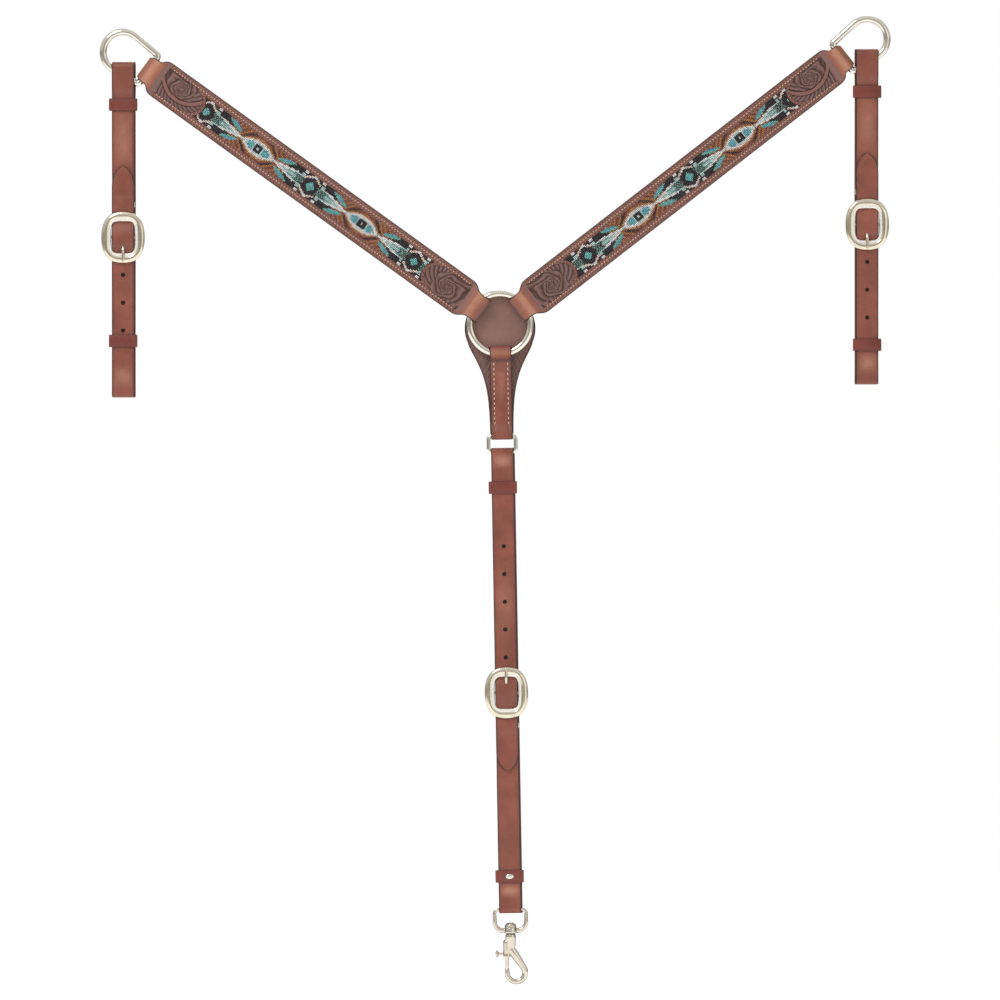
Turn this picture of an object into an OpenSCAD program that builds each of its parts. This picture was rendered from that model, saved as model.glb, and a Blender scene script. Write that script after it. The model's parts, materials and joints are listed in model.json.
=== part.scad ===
// Western breast collar: two tooled and beaded arms on a chest ring, a tug on each
// shoulder ring, and a centre strap that ends in a swivel bolt snap.
//
// Bench frame used by every module: X to the right, Y up the horse, Z out of the front face.
// stand() turns the bench frame upright: +Z up, front face towards -Y, and the origin stays at
// the centre of the chest ring.

/* [Chest ring] */
// Centreline radius of the chest ring
ring_R = 34; // [32:0.5:36]
// Radius of the chest ring wire
ring_r = 4; // [3.5:0.1:4]

/* [Arms] */
// Width of each arm
arm_w = 44.5; // [42:0.5:48]
// Chest ring centre to the round end of a shoulder ring
arm_reach = 525; // [480:5:560]
// Rise of the left arm above horizontal, degrees
arm_rise_left = 35.8; // [30:0.1:40]
// Rise of the right arm above horizontal, degrees
arm_rise_right = 37.8; // [30:0.1:40]
// Thickness of the tooled front leather
arm_t = 2.6; // [2.2:0.1:3]
// Width of the beaded inlay
inlay_w = 27; // [24:0.5:28]
// Length of each carved end panel
panel_len = 56; // [50:1:62]

/* [Shoulder rings] */
// Centreline radius of the round end
pear_R = 22.6; // [22:0.1:24]
// Radius of the shoulder ring wire
pear_r = 4; // [3.5:0.1:4]
// Round end centre to the bar in the arm's end loop
pear_len = 35; // [34:0.5:38]

/* [Straps] */
// Width of the tug and centre straps
strap_w = 25.4; // [24:0.1:25.4]
// Thickness of the strap leather
strap_t = 2.4; // [2.2:0.1:2.4]
// Drop of the tug buckle below the shoulder ring centre
tug_buckle_drop = 209.5; // [205:0.5:240]
// Drop of the tug's lower end below the shoulder ring centre
tug_drop = 390.5; // [385:0.5:430]
// Height of the left tug's lower keeper above the tug's end
keeper_up_left = 64; // [50:1:80]
// Height of the right tug's lower keeper above the tug's end
keeper_up_right = 45; // [40:1:80]
// Lean of the centre strap away from vertical, degrees
drop_lean = 1; // [0:0.1:2]
// Drop of the centre buckle below the chest ring centre
centre_buckle_drop = 417; // [410:1:430]
// Drop of the snap's bar below the chest ring centre
snap_bar_drop = 662; // [655:1:690]

/* [Holes] */
// Radius of the punched holes
punch_r = 2.2; // [1.5:0.1:2.5]
// Spacing of the punched holes
punch_pitch = 31.4; // [28:0.1:32]

/* [Hidden] */
$fn = 48;

chestnut = [0.58, 0.34, 0.28];
tooled = [0.42, 0.27, 0.23];
edge_brown = [0.32, 0.22, 0.20];
nickel = [0.85, 0.81, 0.72];
turquoise = [0.37, 0.66, 0.64];
cream = [0.85, 0.78, 0.70];

// Running clearance between leather or wire and the wire it turns on
gap = 0.1;
eps = 0.01;

// Chest ring strap, pad and square loop
ring_strap_w = 24.5;
pad_r = 40;
pad_t = 3;
pad_front = -6.8;
pad_end = 129;
pad_lift = 5;
pad_waist = 16;
pad_tail_half = 13;
pad_ease = 33.5;
ring_strap_row = 7.8;
ring_strap_seam = [59, 115];
loop_w = 35;
loop_h = 22.6;
loop_r = 2.15;
loop_top = 126.45;
loop_z = -1.8;
loop_corner = 2.6;
loop_bottom = loop_top + loop_h - 2 * loop_r;

// Arm, measured along its own axis from the chest ring centre
arm_fold_r = ring_r + gap + arm_t / 2;
chest_loop_w = 30.6;
shoulder_loop_w = 31.2;
arm_fold_s = sqrt(pow(ring_R - ring_r, 2) - pow(chest_loop_w / 2, 2)) + ring_r;
arm_bar_s = arm_reach - pear_len;
slab_z = arm_t / 2 + gap;
slab_start = 49;
slab_end = arm_bar_s - 19;
tail_len = 56;
lining_t = 1.8;
inlay_start = slab_start + panel_len;
inlay_end = slab_end - panel_len;
inlay_depth = 1.2;
thread_in = 5.2;
thread_w = 1;
thread_h = 0.5;
panel_arc_r = 17;
panel_arc_back = 15.5;
bead_proud = 0.4;

// Pear-shaped shoulder ring
pear_cone = 4.5;
pear_corner = 4.2;
pear_side = (pear_len - pear_corner - (pear_R - pear_corner) * sin(pear_cone)) / cos(pear_cone);
pear_bar = pear_R * cos(pear_cone) - pear_side * sin(pear_cone) - pear_corner * cos(pear_cone);

// Looped strap, measured from its buckle bar
half_stack = 1.4;
fold_in = strap_t / 2 + gap;
bar_r = 2;
bar_z = 2.5;
bar_fold = bar_r + fold_in;
rim_back = bar_z + 2;
rim_t = 4;
buckle_w = 49;
buckle_h = 59;
window_w = 26.6;
window_h = 36;
screw_up = 37;
screw_in = 9;
screw_head_r = 4.9;
screw_head_t = 1.2;
screw_front = 1.95;
screw_back = -4.35;
screw_post_r = 2;
screw_pin_r = 1.25;
tongue_w = 3.2;
tongue_t = 2.3;
tip_up = 80;
keeper_h = 14;
keeper_w = 32.4;
keeper_wall = 1.85;
keeper_play = 0.15;
tug_keeper_drop = 59.5;
tug_first_hole = 42.4;
tug_fold_r = pear_r + fold_in;
tug_fold_v = tug_buckle_drop - sqrt(pow(pear_R - pear_r, 2) - pow(strap_w / 2, 2)) - gap - pear_r;
tug_end_r = 3.2;
tug_end_v = tug_drop - tug_buckle_drop - tug_end_r - strap_t / 2;

// Centre strap, measured down from the chest ring
centre_plain_v = centre_buckle_drop - loop_bottom;
centre_chape_v = snap_bar_drop - centre_buckle_drop;
centre_tip_up = 88;
centre_first_hole = 40;
centre_keeper_drop = 185;
stud_v = 624.5 - centre_buckle_drop;
stud_pin_r = 1;
eye_r = 1.9;

// Bolt snap, measured from its bar
eye_half = 17.8;
eye_bar_half = 13.2;
boss_r = 7.2;
boss_top = 20.4;
boss_bottom = 27.2;
swivel_r = 3;
barrel_bottom = 53;
shank_r = 5.6;
shank_bottom = 44;
barrel_r = 4.15;
barrel_top = 34;
bore_top = 33.5;
bolt_x = -4.4;
bolt_r = 2.1;
hook_x = 5.5;
hook_y = -71.5;
hook_R = 10.2;
hook_r = 3.1;
hook_turn = 33;
bolt_low = 65.6;
bolt_high = 41;
eye_side = 4.6;
eye_drop = 13.8;
eye_swing = 10;
pin_y = -50;
pin_r = 1.2;
hook_arm = 24;

// ---------- placing ----------

module stand() rotate([90, 0, 0]) children();

// Designs are drawn for the right side. The left side is their mirror image.
module on_side(side)
  if (side == "left") mirror([1, 0, 0]) children();
  else children();

function rise(side) = side == "left" ? arm_rise_left : arm_rise_right;

module on_arm(side) stand() on_side(side) rotate([0, 0, rise(side)]) children();

module on_tug(side)
  stand() on_side(side)
    translate([arm_reach * cos(rise(side)), arm_reach * sin(rise(side)) - tug_buckle_drop, 0])
      children();

module on_drop() stand() rotate([0, 0, drop_lean]) children();

// The centre strap hangs the other way up from the tugs
module on_centre()
  on_drop() translate([0, -centre_buckle_drop, loop_z]) rotate([0, 0, 180]) children();

module on_snap() on_drop() translate([0, -snap_bar_drop, loop_z]) children();

// ---------- leather ribbons ----------

function seg_normal(a, b) = [-(b - a)[1], (b - a)[0]] / norm(b - a);

function vertex_normal(p, i) =
  let (n = len(p) - 1,
       a = seg_normal(p[max(i - 1, 0)], p[max(i, 1)]),
       b = seg_normal(p[min(i, n - 1)], p[min(i + 1, n)]))
  (a + b) / (1 + a * b);

// Outline of a strip of thickness t whose middle follows the path p
function ribbon(p, t) = concat(
  [for (i = [0 : len(p) - 1]) p[i] + vertex_normal(p, i) * t / 2],
  [for (i = [len(p) - 1 : -1 : 0]) p[i] - vertex_normal(p, i) * t / 2]);

function arc(c, r, a0, a1, n = 12) =
  [for (i = [0 : n]) let (a = a0 + (a1 - a0) * i / n) c + r * [cos(a), sin(a)]];

// Side profile with u out of the front and v up, swept across the width
module across(width) rotate([0, -90, 0]) linear_extrude(width, center = true) children();

// Side profile with u along the arm and v out of the front, swept across the width
module along(width) rotate([90, 0, 0]) linear_extrude(width, center = true) children();

module plate(z0, z1) translate([0, 0, z0]) linear_extrude(z1 - z0) children();

// ---------- wire ----------

module rod(a, b, r)
  translate([a[0], a[1], 0])
    rotate([0, 0, atan2(b[1] - a[1], b[0] - a[0])])
      rotate([0, 90, 0]) cylinder(h = norm(b - a), r = r);

module bend(c, R, a0, a1, r)
  translate([c[0], c[1], 0]) rotate([0, 0, a0])
    rotate_extrude(angle = a1 - a0) translate([R, 0]) circle(r);

// Closed loop of round wire along a flat path of points
module wire_loop(path, r, sides = 16) {
  n = len(path);
  points = [for (i = [0 : n - 1], j = [0 : sides - 1])
    let (d = path[(i + 1) % n] - path[(i + n - 1) % n], t = d / norm(d), b = 360 * j / sides)
    [path[i][0] + r * cos(b) * t[1], path[i][1] - r * cos(b) * t[0], r * sin(b)]];
  faces = [for (i = [0 : n - 1], j = [0 : sides - 1])
    let (i2 = (i + 1) % n, j2 = (j + 1) % sides)
    [i * sides + j, i * sides + j2, i2 * sides + j2, i2 * sides + j]];
  polyhedron(points, faces);
}

// ---------- chest group ----------

module chest_ring() color(nickel) stand()
  rotate_extrude() translate([ring_R, 0]) circle(ring_r);

// Round safe behind the ring that eases into a narrow tail
function pad_half(d) =
  let (top = sqrt(pow(pad_r, 2) - pow(pad_waist, 2)),
       past = max(0, d - pad_waist - pad_lift) / pad_ease)
  pad_tail_half + (top - pad_tail_half) * exp(-pow(past, 1.4));

module pad_outline()
  let (low = asin(pad_waist / pad_r))
  polygon(concat(
    arc([0, -pad_lift], pad_r, -low, 180 + low, 48),
    [for (d = [25 : 4 : pad_end]) [-pad_half(d), -d]],
    [for (d = [pad_end : -4 : 25]) [pad_half(d), -d]]));

module chest_pad() color(tooled) on_drop() plate(pad_front - pad_t, pad_front) pad_outline();

ring_strap_top = sqrt(pow(ring_R - ring_r, 2) - pow(ring_strap_w / 2, 2)) + ring_r;
ring_strap_front = -2.9;
ring_strap_back = ring_strap_front - strap_t - gap;

module ring_strap() color(chestnut) on_drop() difference() {
  across(ring_strap_w) polygon(ribbon(concat(
    [[ring_strap_back, -70], [ring_strap_back, -46]],
    arc([0, -ring_strap_top], ring_r + fold_in, 180, 0),
    [[ring_r + fold_in, -42], [ring_strap_front, -57], [ring_strap_front, -113],
     [loop_z + loop_r + fold_in, 4 - loop_top]],
    arc([loop_z, -loop_top], loop_r + fold_in, 0, -180),
    [[ring_strap_back, -113], [ring_strap_back, -71]]), strap_t));
  for (side = [-1, 1])
    translate([side * ring_strap_row - thread_w / 2 - gap, -ring_strap_seam[1] - 1,
               ring_strap_front + strap_t / 2 - thread_h])
      cube([thread_w + 2 * gap, ring_strap_seam[1] - ring_strap_seam[0] + 2, 2]);
}

module ring_strap_thread() color(cream) on_drop()
  for (side = [-1, 1])
    translate([side * ring_strap_row - thread_w / 2, -ring_strap_seam[1],
               ring_strap_front + strap_t / 2 - thread_h + eps])
      cube([thread_w, ring_strap_seam[1] - ring_strap_seam[0], thread_h]);

module square_loop() color(nickel) on_drop() translate([0, -loop_top, loop_z]) {
  x = loop_w / 2 - loop_r;
  y = loop_h - 2 * loop_r;
  k = loop_corner;
  rod([-x + k, 0], [x - k, 0], loop_r);
  rod([-x + k, -y], [x - k, -y], loop_r);
  for (s = [0, 1]) mirror([s, 0, 0]) {
    rod([x, -k], [x, k - y], loop_r);
    bend([x - k, -k], k, 0, 90, loop_r);
    bend([x - k, k - y], k, -90, 0, loop_r);
  }
}

// ---------- arms ----------

// Outline of an arm: narrow loops at both ends, round shoulders, full width between
module arm_outline(s0, s1) {
  c = chest_loop_w / 2;
  w = arm_w / 2;
  e = shoulder_loop_w / 2;
  bar = arm_bar_s;
  half = [[s0, c], [slab_start - 12, c], [slab_start - 9, c + 0.9], [slab_start - 3, w - 1.6],
          [slab_start, w - 0.4], [slab_start + 4, w],
          [slab_end, w], [slab_end + 4, w - 0.4], [slab_end + 8, w - 2.2], [slab_end + 11.8, e],
          [bar + 2, e], [bar + 5, e - 2.6], [s1, e - 5]];
  polygon(concat(half, [for (i = [len(half) - 1 : -1 : 0]) [half[i][0], -half[i][1]]]));
}

module inlay_outline(grow) difference() {
  translate([inlay_start - 12, -inlay_w / 2 - grow])
    square([inlay_end - inlay_start + 24, inlay_w + 2 * grow]);
  for (s = [inlay_start - panel_arc_back, inlay_end + panel_arc_back])
    translate([s, 0]) circle(panel_arc_r - grow, $fn = 96);
}

module arm_front(side) color(tooled) on_arm(side) difference() {
  intersection() {
    along(arm_w + 2) polygon(ribbon(concat(
      [[slab_start + tail_len, -slab_z], [slab_start, -slab_z], [40, -arm_fold_r]],
      arc([arm_fold_s, 0], arm_fold_r, -90, -270),
      [[40, arm_fold_r], [slab_start, slab_z], [slab_end, slab_z], [arm_bar_s - 9.5, arm_fold_r]],
      arc([arm_bar_s, 0], arm_fold_r, 90, -90),
      [[arm_bar_s - 9.5, -arm_fold_r], [slab_end, -slab_z], [slab_end - tail_len, -slab_z]]),
      arm_t));
    plate(-10, 10) arm_outline(arm_fold_s - 10, arm_bar_s + 10);
  }
  plate(slab_z + arm_t / 2 - inlay_depth, 10) inlay_outline(gap);
  for (v = [-1, 1])
    translate([slab_start + 4, v * (arm_w / 2 - thread_in) - thread_w / 2 - gap,
               slab_z + arm_t / 2 - thread_h])
      cube([slab_end - slab_start - 8, thread_w + 2 * gap, 2]);
}

module arm_inlay(side) color(turquoise) on_arm(side)
  plate(slab_z + arm_t / 2 - inlay_depth + eps, slab_z + arm_t / 2 + bead_proud) inlay_outline(0);

module arm_thread(side) color(cream) on_arm(side)
  for (v = [-1, 1])
    translate([slab_start + 5, v * (arm_w / 2 - thread_in) - thread_w / 2,
               slab_z + arm_t / 2 - thread_h + eps])
      cube([slab_end - slab_start - 10, thread_w, thread_h]);

module arm_filler(side) color(edge_brown) on_arm(side)
  plate(-slab_z - arm_t / 2, -gap)
    translate([slab_start + tail_len + gap, -arm_w / 2])
      square([slab_end - slab_start - 2 * tail_len - 2 * gap, arm_w]);

module arm_lining(side) color(edge_brown) on_arm(side)
  plate(-slab_z - arm_t / 2 - lining_t - eps, -slab_z - arm_t / 2 - eps)
    translate([slab_start + 2, -arm_w / 2]) square([slab_end - slab_start - 4, arm_w]);

// Centreline of the pear: round end, two straight sides that close in, and a straight bar
pear_path = concat(
  arc([0, 0], pear_R, -90 - pear_cone, 90 + pear_cone, 30),
  arc([pear_corner - pear_len, pear_bar], pear_corner, 90 + pear_cone, 180, 6),
  arc([pear_corner - pear_len, -pear_bar], pear_corner, 180, 270 - pear_cone, 6));

module shoulder_ring(side) color(nickel)
  on_arm(side) translate([arm_reach, 0, 0]) wire_loop(pear_path, pear_r);

// ---------- looped straps ----------

// Path of a strap that folds round its buckle bar, goes up to the chape fold, comes back down
// behind to the plain fold, and returns up the front through the buckle to its pointed tip.
function strap_path(chape_v, chape_r, open_len, plain_v, plain_r, tip) = let (
  top = chape_v - open_len,
  low = -plain_v,
  run = half_stack)
  concat(
    [[-1.9, screw_up + 9], [-1.9, 13]],
    arc([bar_z, 0], bar_fold, 180, 360),
    [[bar_z + bar_fold, 2.5], [0.65, 15.2], [0.65, 52], [run, 112], [run, top - 9], [chape_r, top]],
    arc([0, chape_v], chape_r, 0, 180),
    [[-chape_r, top], [-run, top - 9], [-run, 112], [-5.8, 54], [-5.8, 28], [-4.6, 16],
     [-3.7, 0], [-run, -85], [-run, low + 14], [-plain_r, low + 4]],
    arc([0, low], plain_r, 180, 360),
    [[plain_r, low + 4], [run, low + 14], [run, -85], [3.2, -31], [3.2, -16.6],
     [bar_z + 5.85, -9], [bar_z + 5.85, 3.5], [3.2, 16.4], [3.2, 29.8], [4.75, 32.6],
     [4.75, 43], [3.4, 47], [3.9, tip]]);

module punched_hole(v) translate([0, v, 0]) cylinder(h = 20, r = punch_r);

// Holes go through the front run only. The tongue's holes are slots.
module looped_strap(chape_v, chape_r, open_len, plain_v, plain_r, tip, holes, first_hole) {
  w = strap_w / 2;
  difference() {
    across(strap_w)
      polygon(ribbon(strap_path(chape_v, chape_r, open_len, plain_v, plain_r, tip), strap_t));
    for (i = [0 : holes - 1]) punched_hole(-first_hole - i * punch_pitch);
    // Billet hole that the tongue comes through
    translate([-2.6, -16, bar_z - 1.5]) cube([5.2, 10, 12]);
    translate([-2.6, -6.5, bar_z + 3]) cube([5.2, 2.5, 10]);
    // Slot in the chape fold for the tongue
    translate([-2.8, -5, bar_z - 5]) cube([5.6, 12, 9.55]);
    // Bored for the screw post: chape and its turned-back end
    translate([-screw_in, screw_up, -3.2]) cylinder(h = 5.2, r = 2.1);
    // Pointed billet tip
    for (s = [0, 1]) mirror([s, 0, 0])
      plate(2.35, 12) polygon([[3, tip + 1], [w - 2.5, tip - 9], [w + 0.5, tip - 21],
                               [w + 2, tip - 21], [w + 2, tip + 1]]);
  }
}

// Oval frame with a raised rim and a bar set back at its centre
function oval(w, h, p, n = 64) = [for (i = [0 : n - 1]) let (a = 360 * i / n)
  [w / 2 * sign(cos(a)) * pow(abs(cos(a)), 2 / p), h / 2 * sign(sin(a)) * pow(abs(sin(a)), 2 / p)]];

module buckle() color(nickel) {
  plate(rim_back, rim_back + rim_t) difference() {
    polygon(oval(buckle_w, buckle_h, 2.3));
    square([window_w, window_h], center = true);
  }
  for (s = [-1, 1])
    translate([s * (window_w / 2 + 3) - 2.5, -4, bar_z - bar_r]) cube([5, 8, rim_back - bar_z + 3]);
  translate([-window_w / 2 - 3, 0, bar_z]) rotate([0, 90, 0]) cylinder(h = window_w + 6, r = bar_r);
}

module tongue() color(nickel) translate([0, 0, bar_z]) {
  difference() {
    union() {
      rotate([0, 90, 0]) cylinder(h = 4.6, r = 3.3, center = true);
      across(tongue_w)
        polygon(ribbon([[1, -2], [3.4, -8.5], [7.25, -14.6], [7.25, -28]], tongue_t));
    }
    rotate([0, 90, 0]) cylinder(h = 6, r = bar_r + 0.06, center = true);
  }
}

// Two-part screw: the post comes through from behind and the cap screws into it
module screw_post() color(nickel) translate([-screw_in, screw_up, screw_back]) difference() {
  union() {
    cylinder(h = screw_head_t, r = screw_head_r);
    translate([0, 0, screw_head_t - 0.05])
      cylinder(h = screw_front - screw_back - screw_head_t, r = screw_post_r);
  }
  translate([0, 0, 1.95]) cylinder(h = 6, r = screw_pin_r + 0.05);
}

module screw_cap() color(nickel) translate([-screw_in, screw_up, screw_front]) difference() {
  union() {
    cylinder(h = screw_head_t, r = screw_head_r);
    translate([0, 0, -3.75]) cylinder(h = 3.9, r = screw_pin_r);
  }
  translate([-3.5, -0.6, 0.75]) cube([7, 1.2, 1]);
}

// Leather band round both runs of a strap
module keeper(v) color(chestnut) translate([0, v, 0]) difference() {
  z = half_stack + strap_t / 2 + keeper_play;
  w = keeper_w / 2 - keeper_wall;
  translate([-keeper_w / 2, -keeper_h / 2, -z - keeper_wall])
    cube([keeper_w, keeper_h, 2 * (z + keeper_wall)]);
  translate([-w, -keeper_h, -z]) cube([2 * w, 2 * keeper_h, 2 * z]);
}

module tug_strap(side) color(chestnut) on_tug(side)
  looped_strap(tug_fold_v, tug_fold_r, 24, tug_end_v, tug_end_r, tip_up, 3, tug_first_hole);

module tug_buckle(side) on_tug(side) buckle();
module tug_tongue(side) on_tug(side) tongue();
module tug_screw_post(side) on_tug(side) screw_post();
module tug_screw_cap(side) on_tug(side) screw_cap();
module tug_keeper_upper(side) on_tug(side) keeper(tug_buckle_drop - tug_keeper_drop);

module tug_keeper_lower(side) on_tug(side)
  keeper(tug_buckle_drop - tug_drop + (side == "left" ? keeper_up_left : keeper_up_right));

// ---------- centre strap ----------

module centre_strap() color(chestnut) on_centre() difference() {
  looped_strap(centre_chape_v, eye_r + fold_in, 2, centre_plain_v, loop_r + fold_in,
               centre_tip_up, 5, centre_first_hole);
  stud_hole();
}

module centre_buckle() on_centre() buckle();
module centre_tongue() on_centre() tongue();
module centre_screw_post() on_centre() screw_post();
module centre_screw_cap() on_centre() screw_cap();
module centre_keeper_upper() on_centre() keeper(centre_keeper_drop - centre_buckle_drop);

module stud_hole()
  translate([0, stud_v, -2.6]) cylinder(h = 10, r = stud_pin_r + gap);

module centre_keeper_lower() on_centre() difference() {
  keeper(stud_v);
  color(chestnut) stud_hole();
}

module keeper_stud() color(nickel) on_centre() translate([0, stud_v, 0]) {
  translate([0, 0, -2.5]) cylinder(h = 7.3, r = stud_pin_r);
  plate(4.65, 6.1) polygon(oval(9, 5.5, 2.2, 32));
}

// ---------- bolt snap ----------

module snap_eye() color(nickel) on_snap() difference() {
  union() {
    rod([-eye_bar_half, 0], [eye_bar_half, 0], eye_r);
    for (s = [0, 1]) mirror([s, 0, 0]) {
      bend([eye_bar_half, -eye_side], eye_side, 0, 90, eye_r);
      rod([eye_half, -eye_side], [eye_half, -eye_drop], eye_r);
      bend([eye_half - eye_swing, -eye_drop], eye_swing, -90, 0, eye_r);
      rod([0, -eye_drop - eye_swing], [eye_half - eye_swing, -eye_drop - eye_swing], eye_r);
    }
    translate([0, -boss_bottom, 0]) rotate([-90, 0, 0])
      cylinder(h = boss_bottom - boss_top, r = boss_r);
  }
  translate([0, -boss_bottom - 1, 0]) rotate([-90, 0, 0])
    cylinder(h = boss_bottom - boss_top + 2, r = swivel_r + 0.06);
}

module upright(x, low, high, r)
  translate([x, -low, 0]) rotate([-90, 0, 0]) cylinder(h = low - high, r = r);

module snap_body() color(nickel) on_snap() difference() {
  union() {
    // Domed swivel head, shank and barrel
    translate([0, -boss_top + 0.1, 0]) rotate([-90, 0, 0]) rotate_extrude() intersection() {
      translate([0, -3]) circle(8);
      square([6.3, 6]);
    }
    upright(0, boss_bottom + 1, boss_top - 0.2, swivel_r);
    upright(0, shank_bottom, boss_bottom + 0.15, shank_r);
    upright(bolt_x, barrel_bottom, barrel_top, barrel_r);
    // Hook: arm, round end and tip
    arm_top = [hook_x, hook_y] + hook_R * [cos(hook_turn), sin(hook_turn)];
    arm_way = [-sin(hook_turn), cos(hook_turn)];
    rod(arm_top - arm_way, arm_top + hook_arm * arm_way, hook_r + 0.12);
    bend([hook_x, hook_y], hook_R, -180, hook_turn, hook_r);
    upright(hook_x - hook_R, -hook_y, bolt_low + 0.15, hook_r);
  }
  upright(bolt_x, barrel_bottom + 1, bore_top, bolt_r + 0.08);
  // Slot for the thumb pin
  translate([-12, -barrel_bottom + 1.5, -pin_r - 0.25]) cube([7, 13, 2 * pin_r + 0.5]);
}

module snap_bolt() color(nickel) on_snap() difference() {
  upright(bolt_x, bolt_low, bolt_high, bolt_r);
  translate([bolt_x - 3, pin_y, 0]) rotate([0, 90, 0]) cylinder(h = 6, r = pin_r + 0.02);
}

module snap_thumb_pin() color(nickel) on_snap() {
  translate([-15.5, pin_y, 0]) rotate([0, 90, 0]) cylinder(h = 13, r = pin_r);
  translate([-17.2, pin_y, 0]) rotate([0, 90, 0]) cylinder(h = 2.4, r = 3.8);
}

// Coil spring between the top of the bore and the bolt
module snap_spring() color(nickel) on_snap() {
  turns = 5;
  steps = 14;
  sides = 6;
  wire = 0.35;
  coil = 1.45;
  height = bolt_high - bore_top - 2 * wire - 0.3;
  ring_count = turns * steps;
  points = [for (i = [0 : ring_count], j = [0 : sides - 1])
    let (a = 360 * i / steps, b = 360 * j / sides, rr = coil + wire * cos(b))
    [rr * cos(a), height * i / ring_count + wire * sin(b), rr * sin(a)]];
  faces = concat(
    [[for (j = [0 : sides - 1]) j]],
    [for (i = [0 : ring_count - 1], j = [0 : sides - 1])
      let (k = (j + 1) % sides)
      [i * sides + j, (i + 1) * sides + j, (i + 1) * sides + k, i * sides + k]],
    [[for (j = [sides - 1 : -1 : 0]) ring_count * sides + j]]);
  translate([bolt_x, -bolt_high + wire + 0.1, 0]) polyhedron(points, faces);
}

// ---------- output ----------

chest_ring();
chest_pad();
ring_strap();
ring_strap_thread();
square_loop();
arm_front("left");  // arm_front_left
arm_inlay("left");  // arm_inlay_left
arm_filler("left");  // arm_filler_left
arm_lining("left");  // arm_lining_left
arm_thread("left");  // arm_thread_left
arm_front("right");  // arm_front_right
arm_inlay("right");  // arm_inlay_right
arm_filler("right");  // arm_filler_right
arm_lining("right");  // arm_lining_right
arm_thread("right");  // arm_thread_right
shoulder_ring("left");  // shoulder_ring_left
shoulder_ring("right");  // shoulder_ring_right
tug_strap("left");  // tug_strap_left
tug_buckle("left");  // tug_buckle_left
tug_tongue("left");  // tug_tongue_left
tug_screw_post("left");  // tug_screw_post_left
tug_screw_cap("left");  // tug_screw_cap_left
tug_keeper_upper("left");  // tug_keeper_upper_left
tug_keeper_lower("left");  // tug_keeper_lower_left
tug_strap("right");  // tug_strap_right
tug_buckle("right");  // tug_buckle_right
tug_tongue("right");  // tug_tongue_right
tug_screw_post("right");  // tug_screw_post_right
tug_screw_cap("right");  // tug_screw_cap_right
tug_keeper_upper("right");  // tug_keeper_upper_right
tug_keeper_lower("right");  // tug_keeper_lower_right
centre_strap();
centre_buckle();
centre_tongue();
centre_screw_post();
centre_screw_cap();
centre_keeper_upper();
centre_keeper_lower();
keeper_stud();
snap_eye();
snap_body();
snap_bolt();
snap_thumb_pin();
snap_spring();
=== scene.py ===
"""Looks of a western breast collar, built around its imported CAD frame.

Lengths are in millimetres. Each sub-part is drawn in a flat working place: x across it, y along it
and z out of its front face. Place.world() turns that into the frame's metres.
"""

import json
import math
import random

import bmesh
import bpy
import numpy as np
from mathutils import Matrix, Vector


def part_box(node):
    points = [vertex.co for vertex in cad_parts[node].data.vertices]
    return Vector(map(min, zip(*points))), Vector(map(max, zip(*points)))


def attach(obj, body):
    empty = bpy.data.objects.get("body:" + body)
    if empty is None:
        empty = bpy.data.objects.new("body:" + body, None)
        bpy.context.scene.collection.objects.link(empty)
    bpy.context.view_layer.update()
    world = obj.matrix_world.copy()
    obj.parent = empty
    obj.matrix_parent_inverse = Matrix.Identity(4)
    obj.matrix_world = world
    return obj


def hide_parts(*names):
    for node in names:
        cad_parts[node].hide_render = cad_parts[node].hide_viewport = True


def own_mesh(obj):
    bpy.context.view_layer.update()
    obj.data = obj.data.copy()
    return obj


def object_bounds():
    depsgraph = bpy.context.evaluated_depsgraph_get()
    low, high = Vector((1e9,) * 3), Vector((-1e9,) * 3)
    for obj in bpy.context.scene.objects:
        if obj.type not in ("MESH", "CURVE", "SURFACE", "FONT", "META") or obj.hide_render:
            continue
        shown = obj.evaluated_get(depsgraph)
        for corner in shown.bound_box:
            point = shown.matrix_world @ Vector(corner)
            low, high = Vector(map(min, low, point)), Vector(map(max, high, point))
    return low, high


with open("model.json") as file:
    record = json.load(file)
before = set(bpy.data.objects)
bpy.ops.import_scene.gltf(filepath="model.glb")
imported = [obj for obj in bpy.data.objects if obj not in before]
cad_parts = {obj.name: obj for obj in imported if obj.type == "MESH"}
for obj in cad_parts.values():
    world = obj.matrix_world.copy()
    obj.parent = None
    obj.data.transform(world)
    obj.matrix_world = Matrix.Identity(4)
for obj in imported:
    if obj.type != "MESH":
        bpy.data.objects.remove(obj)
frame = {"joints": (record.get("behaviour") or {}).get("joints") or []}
cad_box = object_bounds()

MM = 0.001
SIDES = ("left", "right")

# Rings and wire
RING_R, RING_WIRE = 34.0, 4.0
PEAR_R, PEAR_WIRE, PEAR_CONE, PEAR_CORNER = 22.6, 4.0, math.radians(4.5), 4.2
LOOP_W, LOOP_H, LOOP_WIRE, LOOP_CORNER = 35.0, 22.6, 2.15, 4.2
EYE_WIRE = 1.9

# Leather
STRAP_W, STRAP_T = 25.4, 2.4
ARM_W, ARM_T = 44.5, 2.6
LINING_T = 1.8
INLAY_W = 27.0
PANEL_LEN = 56.0
CHEST_LOOP_W, SHOULDER_LOOP_W = 30.6, 31.2
GAP = 0.1
SLACK = 0.06
STITCH_IN = 5.2
STITCH_PITCH = 3.7
RING_STRAP_W = 24.5
PAD_R, PAD_T, PAD_FRONT, PAD_END = 40.0, 3.0, -6.8, 129.0
KEEPER_W, KEEPER_H = 32.2, 14.0

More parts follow.
